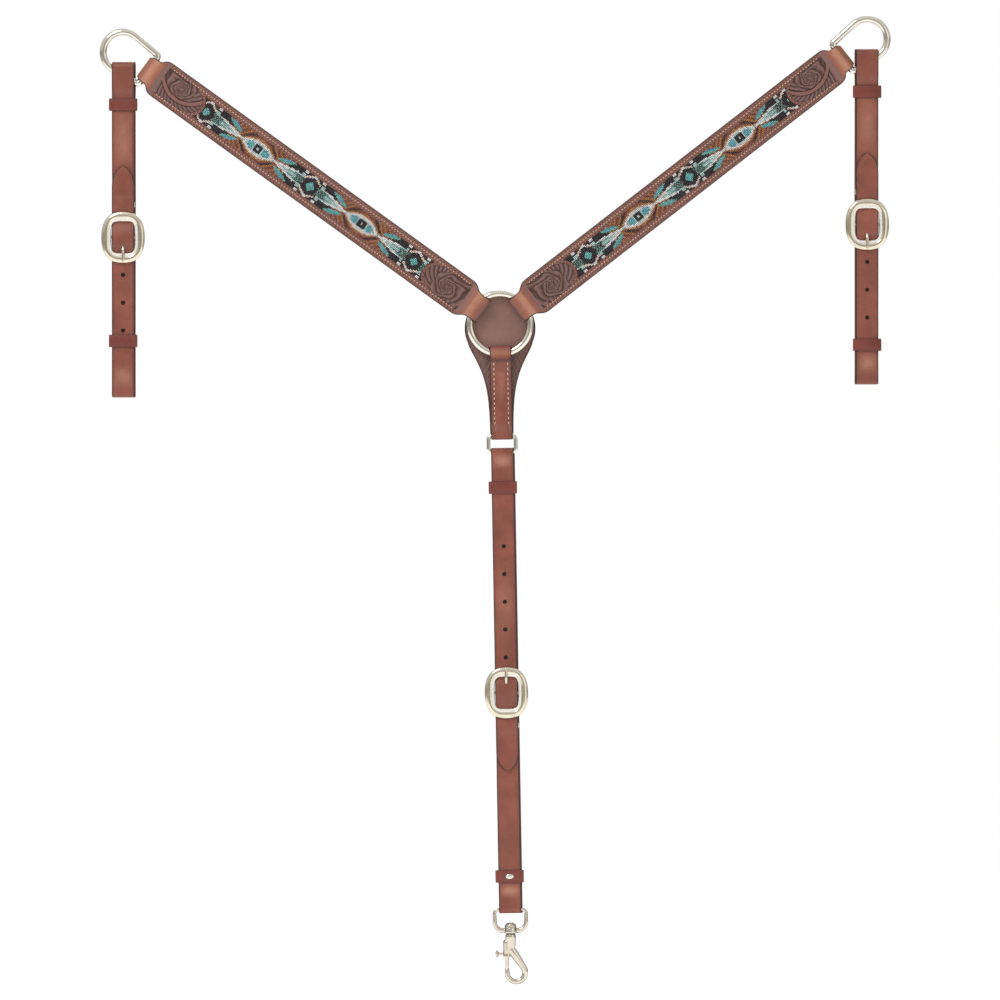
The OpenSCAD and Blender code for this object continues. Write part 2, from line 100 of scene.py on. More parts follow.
# Looped straps, measured from the buckle bar
BAR_Z, BAR_R = 2.5, 2.0
HALF_STACK = 1.4
FOLD_IN = STRAP_T / 2 + GAP
SCREW_UP, SCREW_IN = 37.0, 9.0
BUCKLE_W, BUCKLE_H, WINDOW_W, WINDOW_H = 49.0, 59.0, 26.6, 36.0
RIM_BACK, RIM_T = 4.5, 4.0
PUNCH_R, PUNCH_PITCH = 2.2, 31.4
BACK_SHIFT = 1.4

JOINTS = {j["name"]: j for j in frame["joints"]}
FRONT = (0.0, -1.0, 0.0)


# ---------- places ----------


class Place:
    """A flat working place in the frame."""

    def __init__(self, origin, across, along):
        self.origin = np.array(origin, float)
        self.axes = np.array((across, along, FRONT), float)

    def world(self, points):
        return (self.origin + np.asarray(points, float) @ self.axes) * MM


def joint_at(name):
    return np.array(JOINTS[name]["pos_m"], float) / MM


def joint_axis(name):
    axis = np.array(JOINTS[name]["axis"], float)
    return axis / np.linalg.norm(axis)


def arm_place(side):
    """Along the arm from the chest ring. Across points down, away from the arm's upper edge."""
    end = joint_at(f"shoulder_ring_{side}_tilt")
    return Place((0, 0, 0), -joint_axis(f"shoulder_ring_{side}_tilt"), end / np.linalg.norm(end))


def tug_place(side):
    across = (-1, 0, 0) if side == "left" else (1, 0, 0)
    return Place(joint_at(f"tug_tongue_{side}_lift") - BAR_Z * np.array(FRONT), across, (0, 0, 1))


ARM_BAR = float(np.linalg.norm(joint_at("shoulder_ring_left_tilt")))
ARM_REACH = float(np.linalg.norm(joint_at("tug_left_swing")))
UP = joint_axis("snap_swivel")
ACROSS = joint_axis("square_loop_tilt")
DROP = Place((0, 0, 0), ACROSS, UP)
CENTRE = Place(joint_at("centre_tongue_lift") - BAR_Z * np.array(FRONT), -ACROSS, -UP)
SNAP = Place(joint_at("snap_eye_tilt"), ACROSS, UP)
LOOP_TOP = float(np.linalg.norm(joint_at("square_loop_tilt")[[0, 2]]))
LOOP_BOTTOM = float(np.linalg.norm(joint_at("centre_strap_tilt")[[0, 2]]))
LOOP_Z = -float(joint_at("square_loop_tilt")[1])
CENTRE_BUCKLE = float(np.linalg.norm(joint_at("centre_tongue_lift")[[0, 2]]))
SNAP_BAR = float(np.linalg.norm(joint_at("snap_eye_tilt")[[0, 2]]))

SLAB_START, SLAB_END = 49.0, ARM_BAR - 19.0
SLAB_Z = ARM_T / 2 + GAP
INLAY_START, INLAY_END = SLAB_START + PANEL_LEN, SLAB_END - PANEL_LEN
ARC_R, ARC_BACK = 17.0, 15.5


# ---------- maths ----------


def arc(centre, radius, start, end, steps=14):
    """Points on a circle, from one angle in degrees to another."""
    a = np.radians(np.linspace(start, end, steps + 1))
    return np.stack([centre[0] + radius * np.cos(a), centre[1] + radius * np.sin(a)], 1)


def rounded(path, radius):
    """The path with each corner cut by a curve, so that a strip along it bends smoothly."""
    path = np.asarray(path, float)
    out = [path[0]]
    for before, corner, after in zip(path, path[1:], path[2:]):
        a, b = before - corner, after - corner
        cut_a = corner + a * min(0.48, radius / max(np.linalg.norm(a), 1e-6))
        cut_b = corner + b * min(0.48, radius / max(np.linalg.norm(b), 1e-6))
        for t in np.linspace(0, 1, 7):
            out.append((1 - t) ** 2 * cut_a + 2 * t * (1 - t) * corner + t * t * cut_b)
    out.append(path[-1])
    return np.array(out)


def spaced(path, step_at):
    """The path again, with points as far apart as step_at(point) says."""
    length = np.concatenate([[0], np.cumsum(np.linalg.norm(np.diff(path, axis=0), axis=1))])
    at, marks = 0.0, []
    while at < length[-1]:
        marks.append(at)
        here = [np.interp(at, length, path[:, 0]), np.interp(at, length, path[:, 1])]
        at += step_at(here)
    marks.append(length[-1])
    return np.stack([np.interp(marks, length, path[:, k]) for k in (0, 1)], 1)


def normals(path):
    """Unit normals to the left of the path."""
    d = np.gradient(path, axis=0)
    d /= np.linalg.norm(d, axis=1)[:, None]
    return np.stack([-d[:, 1], d[:, 0]], 1)


def smooth(a, b, x):
    t = np.clip((x - a) / (b - a), 0, 1)
    return t * t * (3 - 2 * t)


def bump(x, width):
    """1 at x = 0, falling smoothly to 0 at a distance of width."""
    return 1 - smooth(0, width, np.abs(x))


# ---------- mesh building ----------


def loft(rings, closed=False):
    """One skin over a list of closed rings with equal point counts. An open loft gets end caps."""
    rings = np.asarray(rings, float)
    n, m = rings.shape[:2]
    i = np.arange(n if closed else n - 1)[:, None]
    j = np.arange(m)[None, :]
    i2, j2 = (i + 1) % n, (j + 1) % m
    quads = np.stack([i * m + j, i * m + j2, i2 * m + j2, i2 * m + j], -1).reshape(-1, 4).tolist()
    if not closed:
        quads += [list(range(m))[::-1], [(n - 1) * m + k for k in range(m)]]
    return rings.reshape(-1, 3), quads


def joined(*parts):
    """Several (points, faces) in one."""
    points, faces, start = [], [], 0
    for p, f in parts:
        points.append(np.asarray(p, float))
        faces += [[k + start for k in face] for face in f]
        start += len(p)
    return np.concatenate(points), faces


def tube(path, radius, sides=20, closed=False, z=0.0, flat=1.0):
    """Round wire along a flat path. radius may be a list, one for each point."""
    path = np.asarray(path, float)
    radius = np.broadcast_to(radius, len(path))
    if closed:
        d = np.roll(path, -1, 0) - np.roll(path, 1, 0)
        n = np.stack([-d[:, 1], d[:, 0]], 1) / np.linalg.norm(d, axis=1)[:, None]
    else:
        n = normals(path)
    a = np.linspace(0, 2 * math.pi, sides, endpoint=False)
    rings = [
        [(p[0] + r * c * k[0], p[1] + r * c * k[1], z + flat * r * s) for c, s in zip(np.cos(a), np.sin(a))]
        for p, k, r in zip(path, n, radius)
    ]
    return loft(rings, closed)


def rod(start, end, radius, sides=20, dome=0.0):
    """Straight wire between two flat points, with its ends domed by a share of its radius."""
    start, end = np.asarray(start, float), np.asarray(end, float)
    t = np.array([0.0, 0.03, 0.12, 0.3, 1.0])
    step = (end - start) / np.linalg.norm(end - start) * radius * dome
    head = [start + step * (1 - math.sqrt(1 - (1 - k) ** 2)) for k in t]
    tail = [end - step * (1 - math.sqrt(1 - (1 - k) ** 2)) for k in t[::-1]]
    size = [math.sqrt(1 - (1 - k) ** 2 * (dome > 0)) + 1e-3 for k in t]
    return tube(head + tail, np.array(size + size[::-1]) * radius, sides)


def lathe(profile, centre, axis="z", steps=40):
    """A closed profile of (radius, height) turned about an axis through centre."""
    rings = []
    for a in np.linspace(0, 2 * math.pi, steps, endpoint=False):
        c, s = math.cos(a), math.sin(a)
        turn = {
            "x": lambda r, h: (h, r * c, r * s),
            "y": lambda r, h: (r * s, h, r * c),
            "z": lambda r, h: (r * c, r * s, h),
        }[axis]
        rings.append([np.add(centre, turn(r, h)) for r, h in profile])
    return loft(rings, closed=True)


def scatter(base, places, turns=None):
    """Copies of (points, faces) at each place, turned about z by each angle."""
    points, faces = np.asarray(base[0], float), np.asarray(base[1])
    places = np.asarray(places, float)
    turns = np.zeros(len(places)) if turns is None else np.asarray(turns, float)
    c, s = np.cos(turns)[:, None], np.sin(turns)[:, None]
    x = points[None, :, 0] * c - points[None, :, 1] * s
    y = points[None, :, 0] * s + points[None, :, 1] * c
    z = np.broadcast_to(points[None, :, 2], x.shape)
    all_points = (np.stack([x, y, z], -1) + places[:, None, :]).reshape(-1, 3)
    all_faces = faces[None] + (np.arange(len(places)) * len(points))[:, None, None]
    return all_points, all_faces.reshape(-1, faces.shape[1]).tolist()


def piece(name, shape, place, body, materials, stands_for=(), marks=None, paint=None, sharp=35):
    """One visible piece: its mesh in the frame, what it rides on, and the CAD nodes it stands for."""
    points, faces = shape
    mesh = bpy.data.meshes.new(name)
    mesh.from_pydata(place.world(points).tolist(), [], faces)
    for material in materials:
        mesh.materials.append(material)
    if paint is not None:
        mesh.polygons.foreach_set("material_index", np.asarray(paint, np.int32))
    for key, values in (marks or {}).items():
        layer = mesh.attributes.new(key, "FLOAT", "POINT")
        layer.data.foreach_set("value", np.asarray(values, np.float32).ravel())
    bm = bmesh.new()
    bm.from_mesh(mesh)
    bmesh.ops.recalc_face_normals(bm, faces=bm.faces)
    bm.to_mesh(mesh)
    bm.free()
    mesh.polygons.foreach_set("use_smooth", np.ones(len(mesh.polygons), bool))
    mesh.set_sharp_from_angle(angle=math.radians(sharp))
    obj = bpy.data.objects.new(name, mesh)
    bpy.context.scene.collection.objects.link(obj)
    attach(obj, body)
    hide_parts(*stands_for)
    return obj


def fused(obj, voxel, slot=None):
    """Melts an object's overlapping shells into one smooth casting, with a slot cut out of it."""
    remesh = obj.modifiers.new("melt", "REMESH")
    remesh.mode = "VOXEL"
    remesh.voxel_size = voxel * MM
    soften = obj.modifiers.new("soften", "SMOOTH")
    soften.factor, soften.iterations = 0.5, 9
    if slot is not None:
        mesh = bpy.data.meshes.new("slot")
        mesh.from_pydata(SNAP.world(slot[0]).tolist(), [], slot[1])
        tool = bpy.data.objects.new("slot", mesh)
        bpy.context.scene.collection.objects.link(tool)
        cut = obj.modifiers.new("cut", "BOOLEAN")
        cut.operation, cut.solver, cut.object = "DIFFERENCE", "EXACT", tool
    bpy.context.view_layer.update()
    done = bpy.data.meshes.new_from_object(obj.evaluated_get(bpy.context.evaluated_depsgraph_get()))
    obj.modifiers.clear()
    obj.data = done
    if slot is not None:
        bpy.data.objects.remove(tool)
    done.polygons.foreach_set("use_smooth", np.ones(len(done.polygons), bool))
    done.set_sharp_from_angle(angle=math.radians(60))
    return obj


# ---------- materials ----------


def rgb(code):
    """Linear colour from a #rrggbb code."""
    parts = [int(code[k : k + 2], 16) / 255 for k in (1, 3, 5)]
    return tuple(c / 12.92 if c <= 0.04045 else ((c + 0.055) / 1.055) ** 2.4 for c in parts) + (1.0,)


class Shader:
    """Short way to write a node tree. Inputs are numbers, colours or other nodes' outputs."""

    def __init__(self, name):
        self.material = bpy.data.materials.new(name)
        self.material.use_nodes = True
        self.tree = self.material.node_tree
        self.tree.nodes.clear()
        self.place = self.add("ShaderNodeTexCoord").outputs["Object"]

    def add(self, kind, inputs=None, **settings):
        node = self.tree.nodes.new(kind)
        for key, value in settings.items():
            setattr(node, key, value)
        for key, value in (inputs or {}).items():
            if isinstance(value, bpy.types.NodeSocket):
                self.tree.links.new(value, node.inputs[key])
            else:
                node.inputs[key].default_value = value
        return node

    def mark(self, name):
        return self.add("ShaderNodeAttribute", attribute_name=name).outputs["Fac"]

    def noise(self, scale, detail=3.0, rough=0.55, at=None):
        inputs = {"Vector": at or self.place, "Scale": scale, "Detail": detail, "Roughness": rough}
        return self.add("ShaderNodeTexNoise", inputs).outputs["Fac"]

    def span(self, value, low, high, to_low=0.0, to_high=1.0):
        inputs = {"Value": value, "From Min": low, "From Max": high, "To Min": to_low, "To Max": to_high}
        return self.add("ShaderNodeMapRange", inputs).outputs["Result"]

    def maths(self, how, a, b):
        return self.add("ShaderNodeMath", {0: a, 1: b}, operation=how).outputs[0]

    def mix(self, share, a, b, how="MIX"):
        node = self.add("ShaderNodeMix", data_type="RGBA", blend_type=how)
        for key, value in ((0, share), (6, a), (7, b)):
            if isinstance(value, bpy.types.NodeSocket):
                self.tree.links.new(value, node.inputs[key])
            else:
                node.inputs[key].default_value = value
        return node.outputs[2]

    def bump(self, height, depth, strength=1.0, under=None):
        inputs = {"Height": height, "Distance": depth * MM, "Strength": strength}
        if under is not None:
            inputs["Normal"] = under
        return self.add("ShaderNodeBump", inputs).outputs["Normal"]

    def finish(self, **inputs):
        named = {key.replace("_", " "): value for key, value in inputs.items()}
        principled = self.add("ShaderNodeBsdfPrincipled", named)
        self.add("ShaderNodeOutputMaterial", {"Surface": principled.outputs[0]})
        return self.material


def leather(name, grain, dark, flesh, shine=0.42, relief_depth=0.6):
    """Vegetable-tanned leather.

    Marks on the mesh say where it is antiqued, with painted shade on the loops and below folds (tone),
    darkened deep down (pit: painted shade in punched holes, antique in tooled cuts), given a painted
    pale highlight over folds and along straps, a raw edge (rim) or its flesh side (flesh).
    """
    s = Shader(name)
    blotch = s.noise(28, 4)
    streak = s.noise(160, 3, 0.6)
    pores = s.add("ShaderNodeTexVoronoi", {"Vector": s.place, "Scale": 1500.0}).outputs["Distance"]
    fine = s.noise(2600, 2)
    light = [min(1.0, c * 1.22) for c in rgb(grain)[:3]] + [1.0]
    deep = [c * 0.78 for c in rgb(grain)[:3]] + [1.0]
    colour = s.mix(s.span(blotch, 0.32, 0.68), deep, light)
    colour = s.mix(s.span(streak, 0.35, 0.75, 0.0, 0.35), colour, deep)
    # tone is antiquing, plus painted shade on the loops and below folds.
    colour = s.mix(s.mark("tone"), colour, rgb(dark))
    worn = s.span(s.mark("relief"), 0.45, 1.0, 0.0, 0.6)
    colour = s.mix(s.maths("MULTIPLY", worn, s.mark("tone")), colour, rgb("#93706a"))
    # Painted highlight: a pale band where light catches the crest of folds and the middle of straps.
    painted_highlight_share = s.maths("MULTIPLY", s.mark("pull"), s.span(streak, 0.2, 0.8, 0.95, 0.6))
    colour = s.mix(painted_highlight_share, colour, rgb("#bd8a70"))
    # pit darkens holes and cuts: painted shade in punched holes, antique in tooled cuts.
    colour = s.mix(s.mark("pit"), colour, [c * 0.45 for c in rgb(dark)[:3]] + [1.0])
    edge = s.span(s.maths("ADD", s.mark("rim"), s.span(blotch, 0.0, 1.0, -0.15, 0.15)), 0.25, 0.85)
    colour = s.mix(edge, colour, rgb("#35221e"))
    colour = s.mix(s.mark("flesh"), colour, s.mix(s.span(streak, 0.3, 0.7), rgb(flesh), deep))
    rough = s.span(s.maths("ADD", blotch, s.mark("flesh")), 0.3, 1.4, shine, 0.85)
    normal = s.bump(pores, 0.05, 0.35)
    normal = s.bump(fine, 0.04, 0.5, normal)
    return s.finish(Base_Color=colour, Roughness=rough, Normal=normal, Specular_IOR_Level=0.42)


def metal(name, colour, rough, cast=0.0, shade="#5d5344", turn=(0.35, 0.95), mirror=1.0):
    """Plated metal with faint polishing marks. Its colour darkens to a painted shade where it turns away from the eye.

    cast adds the soft unevenness of a casting. A mirror below 1 makes it partly a pale diffuse colour, a painted
    reflection.
    """
    s = Shader(name)
    cloudy = s.noise(90, 4)
    scratch = s.noise(2400, 2)
    tint = s.mix(s.span(cloudy, 0.3, 0.7), rgb(colour), [c * 0.86 for c in rgb(colour)[:3]] + [1.0])
    roughness = s.span(cloudy, 0.25, 0.75, rough * 0.7, rough * 1.5)
    # Painted shade: the colour darkens towards shade where the surface turns away from the eye.
    rim = s.add("ShaderNodeLayerWeight", {"Blend": 0.42}).outputs["Facing"]
    tint = s.mix(s.span(rim, *turn), tint, rgb(shade))
    normal = s.bump(scratch, 0.008, 0.5)
    if cast:
        normal = s.bump(s.noise(260, 2), cast, 0.6, normal)
    return s.finish(Base_Color=tint, Metallic=mirror, Roughness=roughness, Normal=normal)


def bead(name, colour, coat=0.6):
    """Glass seed beads, each batch a little uneven in colour."""
    s = Shader(name)
    shade = s.span(s.mark("shade"), 0.0, 1.0)
    low = [c * 0.72 for c in rgb(colour)[:3]] + [1.0]
    high = [min(1.0, c * 1.2 + 0.01) for c in rgb(colour)[:3]] + [1.0]
    tint = s.mix(shade, low, high)
    tint = s.mix(s.span(s.noise(900, 2), 0.35, 0.65, 0.0, 0.25), tint, low)
    return s.finish(Base_Color=tint, Roughness=s.span(s.mark("shade"), 0, 1, 0.3, 0.42), Coat_Weight=coat)


def thread(name, colour):
    """Waxed thread with a twist along it."""
    s = Shader(name)
    fibre = s.noise(1900, 3)
    tint = s.mix(s.span(fibre, 0.3, 0.7), [c * 0.7 for c in rgb(colour)[:3]] + [1.0], rgb(colour))
    return s.finish(Base_Color=tint, Roughness=0.7, Normal=s.bump(fibre, 0.12, 0.8))


STRAP_LEATHER = leather("strap_leather", "#854a3b", "#3d2722", "#6d463b", 0.36)
KEEPER_LEATHER = leather("keeper_leather", "#74382d", "#3d2722", "#6d463b", 0.32)
TOOLED_LEATHER = leather("tooled_leather", "#9a5c44", "#4a3230", "#6d463b", 0.40)
PAD_LEATHER = leather("pad_leather", "#8d6a60", "#4f3733", "#6d463b", 0.5)
LINING_LEATHER = leather("lining_leather", "#80594a", "#3d2722", "#80594a", 0.6)
FILLER_LEATHER = leather("filler_leather", "#4a2f29", "#2d1d1a", "#4a2f29", 0.6)
NICKEL = metal("nickel", "#e6dcc6", 0.16, 0.05)
BRIGHT_NICKEL = metal("bright_nickel", "#ebe5d8", 0.12, 0.02)
# Cast metal for the snap; its darker shade colour, reaching further in, is painted shade that darkens its edges.
CAST_NICKEL = metal("cast_nickel", "#dcd2c3", 0.16, 0.06, "#4b3d31", (0.14, 0.78))
# Near-white, half-diffuse metal for the buckles' inner bevel: a painted reflection of the bright surroundings.
PAINTED_REFLECTION_NICKEL = metal("bevel_painted_reflection", "#fbf6ec", 0.25, 0.0, "#a89a84", (0.6, 1.0), 0.35)
SPRING_STEEL = metal("spring_steel", "#c4c2bc", 0.3)
TAN_THREAD = thread("tan_thread", "#d6b0a2")
PALE_THREAD = thread("pale_thread", "#dcbfae")
BEAD_BED = leather("bead_bed", "#3b2722", "#2a1b18", "#3b2722", 0.6)
BEAD_COLOURS = {
    "white": "#f6f2f1",
    "cream": "#ecd4c6",
    "turquoise": "#72c0b9",
    "blue": "#6badc6",
    "teal": "#6fa69c",
    "mist": "#bcd6d0",
    "gold": "#b97f4a",
    "rust": "#8f4f3a",
    "umber": "#4a2b27",
    "black": "#241c22",
}
BEAD_NAMES = list(BEAD_COLOURS)
BEAD_MATERIALS = [bead("bead_" + n, c) for n, c in BEAD_COLOURS.items()]


# ---------- leather sheets ----------


def sheet(path, half, thick, cols=8, edge=0.9, relief=None, back_cols=3, shift=0.0):
    """A strip of leather swept along path, a list of (along, out), with its grain side to the left.

    half gives the half width at each point. relief(along, x, straight) gives a dict of marks for the
    grain side; its "height" moves the surface. shift slides parts of the strip sideways. Returns the
    shape and its marks.
    """
    n = normals(path)
    count = len(path)
    half = np.broadcast_to(half, count)
    soft = np.minimum(edge, half * 0.6)
    bends = np.radians([60, 30, 0, -30, -60])
    xs, zs, rim, side = [], [], [], []
    for t in np.linspace(-1, 1, cols + 1):
        xs.append(t * (half - soft))
        zs.append(np.full(count, thick / 2))
        rim.append(np.full(count, 0.9 if abs(t) > 0.999 else 0.0))
        side.append(0)
    for a in bends:
        xs.append(half - soft + soft * math.cos(a))
        zs.append(np.full(count, thick / 2 * math.sin(a)))
        rim.append(np.ones(count))
        side.append(1)
    for t in np.linspace(1, -1, back_cols + 1):
        xs.append(t * (half - soft))
        zs.append(np.full(count, -thick / 2))
        rim.append(np.full(count, 0.5 if abs(t) > 0.999 else 0.0))
        side.append(2)
    for a in bends[::-1]:
        xs.append(-(half - soft + soft * math.cos(a)))
        zs.append(np.full(count, thick / 2 * math.sin(a)))
        rim.append(np.ones(count))
        side.append(1)
    x, z, rim = np.stack(xs, 1), np.stack(zs, 1), np.stack(rim, 1)
    side = np.broadcast_to(np.array(side), x.shape)
    marks = {"rim": rim, "flesh": (side == 2).astype(float)}
    if relief is not None:
        along = np.broadcast_to(path[:, :1], x.shape)
        facing = np.broadcast_to(n[:, 1:], x.shape)
        found = relief(along, x, half[:, None] - np.abs(x), facing)
        face = side == 0
        z = z + np.where(face, found.pop("height"), 0)
        for key, value in found.items():
            marks[key] = np.where(side <= 1, value, 0)
    x = x + np.broadcast_to(shift, count)[:, None]
    rings = np.stack([x, path[:, :1] + n[:, :1] * z, path[:, 1:] + n[:, 1:] * z], -1)
    return loft(rings), {key: value.reshape(-1) for key, value in marks.items()}


def crease(to_edge):
    """Height of the line pressed along a strap's edges."""
    return -0.22 * bump(to_edge - 2.3, 0.55)


def strap_relief(holes=(), painted_highlights=()):
    """Creased edges, punched holes along the front with painted shade inside, and pale painted highlight bands as
    (along, reach, share).
    """

    def relief(along, x, to_edge, facing):
        height = crease(to_edge)
        pit = np.zeros_like(x)
        tone = 0.25 * bump(to_edge - 2.3, 0.7)
        for hole in holes:
            r = np.hypot(along - hole, x)
            inside = (1 - smooth(PUNCH_R - 0.35, PUNCH_R, r)) * (facing > 0.9)
            height = height - 2.2 * inside - 0.12 * bump(r - PUNCH_R - 0.3, 0.6)
            # Painted shade: the inside of each hole is painted dark.
            pit = np.maximum(pit, (1 - smooth(PUNCH_R - 0.2, PUNCH_R + 0.5, r)) * (facing > 0.9))
        # Painted highlight: pale bands along the strap, strongest down its middle.
        pull = sum(share * bump(along - at, reach) for at, reach, share in painted_highlights) * bump(x, 12) ** 0.5
        return {"height": height, "pit": pit, "tone": tone, "pull": pull}

    return relief


def stitches(rows, pitch, z, length=2.3, radius=0.62, facing=1):
    """Lines of separate stitches. Each row is (x, start, end)."""
    t = np.array([0.0, 0.1, 0.3, 0.5, 0.7, 0.9, 1.0])
    a = np.linspace(0, 2 * math.pi, 8, endpoint=False)
    rings = [
        [(r * math.cos(k), (u - 0.5) * length, r * math.sin(k) + facing * 0.35 * (math.sin(math.pi * u) - 0.6))
         for k in a]
        for u, r in zip(t, radius * np.sqrt(np.clip(1 - (2 * t - 1) ** 4, 0.02, 1)))
    ]
    points, faces = loft(rings)
    caps = [f for f in faces if len(f) > 4]
    quads = [f for f in faces if len(f) == 4]
    for cap in caps:
        quads += [[cap[0], cap[k], cap[k + 1], cap[k + 2]] for k in (1, 3, 5)]
    places, turns = [], []
    for x, start, end in rows:
        for y in np.arange(start + pitch / 2, end, pitch):
            places.append((x, y, z))
            turns.append(math.copysign(0.09, x))
    return scatter((points, quads), places, turns)


# ---------- arms ----------

SWIRL_S = 28.5
PANEL_HALF = 16.2
STEM_AT, STEM_R = (29.0, -22.5), 31.5
STAMP_PITCH = 4.1
MEDALLION_AT = {"left": 192.6, "right": 198.4}
MEDALLION_PITCH = 144.5


def arm_half(s):
    """Half width of an arm, narrow at its two loops."""
    c, w, e, bar = CHEST_LOOP_W / 2, ARM_W / 2, SHOULDER_LOOP_W / 2, ARM_BAR
    marks = [0, 37, 40, 46, 49, 53, bar - 19, bar - 15, bar - 11, bar - 7.2, bar + 2, bar + 5, bar + 10]
    widths = [c, c, c + 0.9, w - 1.6, w - 0.4, w, w, w - 0.4, w - 2.2, e, e, e - 2.2, e - 4.6]
    spread = np.linspace(-1.5, 1.5, 7)
    return np.mean([np.interp(s + k, marks, widths) for k in spread], 0)


def bevelled(phase, depth):
    """Row of knife cuts, each steep on one side and sloping up on the other."""
    part = phase - np.floor(phase)
    return -depth * (1 - part) ** 2 * smooth(0, 0.24, part) * 1.35


def carving(d, x, chest):
    """Floral carving of an end panel. d runs from the loop to the inlay and x across the arm.

    A rose of spiral cuts trails leaves that bend towards the loop's upper corner, with small leaves
    all round it. A shoulder panel also has a bold stem that bows round the rose.
    """
    u = d - SWIRL_S
    trail = np.clip(-u / 26, 0, 1)
    v = x - np.where(chest, 1.5, -4.5) + 10 * trail**2
    u = np.where(u < 0, u * (1 - 0.42 * trail), u)
    r = np.hypot(u, v) + 1e-3
    turn = np.arctan2(v, u)
    petals = r * (1 + 0.09 * np.cos(5 * turn + 0.3 * r))
    spiral = 4 * (np.log(petals / 2.0) * 0.66 + turn / (2 * math.pi))
    cut = spiral - np.floor(spiral)
    height = bevelled(spiral, 0.85) + 0.06 * np.sin(9 * turn + 0.5 * r)
    heart = bump(r, 2.0)
    height = height * (1 - heart) + 0.1 * heart
    for line, depth in ((0.45, 0.4), (0.72, 0.3)):
        height -= depth * bump(np.abs(cut - line) * np.clip(r, 3, 16) / 3, 0.34) * smooth(7, 11, r)
    corner = smooth(16.5, 18.5, r + 1.8 * np.cos(6 * turn)) * smooth(0, 5, d - SWIRL_S + np.abs(x) * 0.4)
    below = smooth(10.5, 13.5, x) * smooth(-2, -8, u)
    leafy = np.clip(np.maximum(corner, below), 0, 1)
    height = height * (1 - leafy) + bevelled(turn * 22 / (2 * math.pi) + r / 7.0, 0.8) * leafy
    stem_off = np.hypot(d - STEM_AT[0], x - STEM_AT[1]) - STEM_R
    outside = smooth(1.5, 2.5, stem_off) * ~chest
    around = np.arctan2(x - STEM_AT[1], d - STEM_AT[0]) * STEM_R
    height = height * (1 - outside) + bevelled(around / 4.6 + stem_off / 6.0, 0.8) * outside
    on_stem = bump(stem_off, 2.6) ** 0.5 * ~chest
    height = height * (1 - on_stem) + 0.12 * on_stem
    height -= 0.7 * bump(np.abs(stem_off) - 2.5, 0.7) * ~chest
    return height, np.clip(leafy + outside, 0, 1) * (1 - on_stem), on_stem


def stamping(s, x):
    """Row of crescent stamps along a line. s runs along it and x is the distance off it."""
    phase = s / STAMP_PITCH + 0.3 * (x / 1.6) ** 2 + 0.2 * x
    tooth = 0.5 + 0.5 * np.cos(2 * math.pi * phase)
    return -0.5 * tooth**2 * bump(x, 2.3)


def arm_relief(along, x, to_edge, facing):
    """Everything pressed, cut or stamped into the front of an arm."""
    front = facing > 0.98
    off = np.abs(x)
    end = np.minimum(along - (SLAB_START - 4), (SLAB_END + 4) - along)
    chest = along < (SLAB_START + SLAB_END) / 2
    arc_at = np.where(chest, INLAY_START - ARC_BACK, INLAY_END + ARC_BACK)
    from_arc = np.hypot(along - arc_at, x) - ARC_R
    beyond = np.where(chest, along > arc_at, along < arc_at)
    in_panel = ((from_arc < -3.6) | ~beyond) & front
    slant = end - 0.12 * x
    panel = in_panel * (1 - smooth(PANEL_HALF - 0.4, PANEL_HALF, off)) * smooth(0.5, 4, slant)
    inlay = (from_arc > 0) & beyond & (off < INLAY_W / 2 + 0.05) & front
    carved, leafy, on_stem = carving(end, x, chest)
    height = panel * carved
    rim = bump(off - PANEL_HALF, 0.6) * (~beyond | (from_arc < -3.4))
    rim = rim + bump(from_arc + 3.6, 0.6) * beyond * (off < PANEL_HALF)
    rim = np.clip(rim, 0, 1) * front * smooth(2, 6, end)
    straight = front * smooth(0, 5, end)
    border = straight * (1 - in_panel * (off < PANEL_HALF)) * ~inlay
    rows = stamping(along, off - 14.9) + stamping(along + STAMP_PITCH / 2, off - 19.7)
    ring = stamping(np.arctan2(x, along - arc_at) * 15, from_arc + 1.8) * beyond * (off < 14)
    pressed = np.clip(np.where(ring < 0, ring, rows), -0.5, 0) * border
    groove = bump(to_edge - STITCH_IN, 1.1) * straight
    height = height - 0.4 * rim + pressed - 0.4 * groove - 0.2 * bump(to_edge - 2.0, 0.6)
    height = np.where(inlay, -1.2, height)
    relief = np.clip(1 + height / 0.8, 0, 1)
    tone = panel * (0.86 + 0.1 * leafy - 0.3 * on_stem) + border * (0.38 + 1.2 * -pressed + 0.4 * groove)
    # Painted shade on the loops: darker where they meet the panel and away from the fold's crest, with a painted
    # highlight along the crest.
    fold = np.where(chest, along - 37, ARM_BAR - 3 - along)
    loop = (1 - straight) * (0.1 + 0.35 * bump(end, 4) + 0.6 * smooth(7, 13, np.abs(fold)))
    pull = front * (1 - straight) * np.where(chest, 0.75, 0.9) * bump(fold, 8)
    tone = np.where(inlay, 1.0, np.clip(tone + loop + 0.5 * rim, 0, 1))
    pit = inlay * 0.5 + panel * smooth(0.55, 0.05, relief) * 0.85 + 0.5 * border * smooth(0.1, 0.5, -pressed)
    pit = np.clip(pit + 0.5 * rim, 0, 1)
    return {"height": height, "tone": tone, "relief": relief, "pit": pit, "pull": pull}


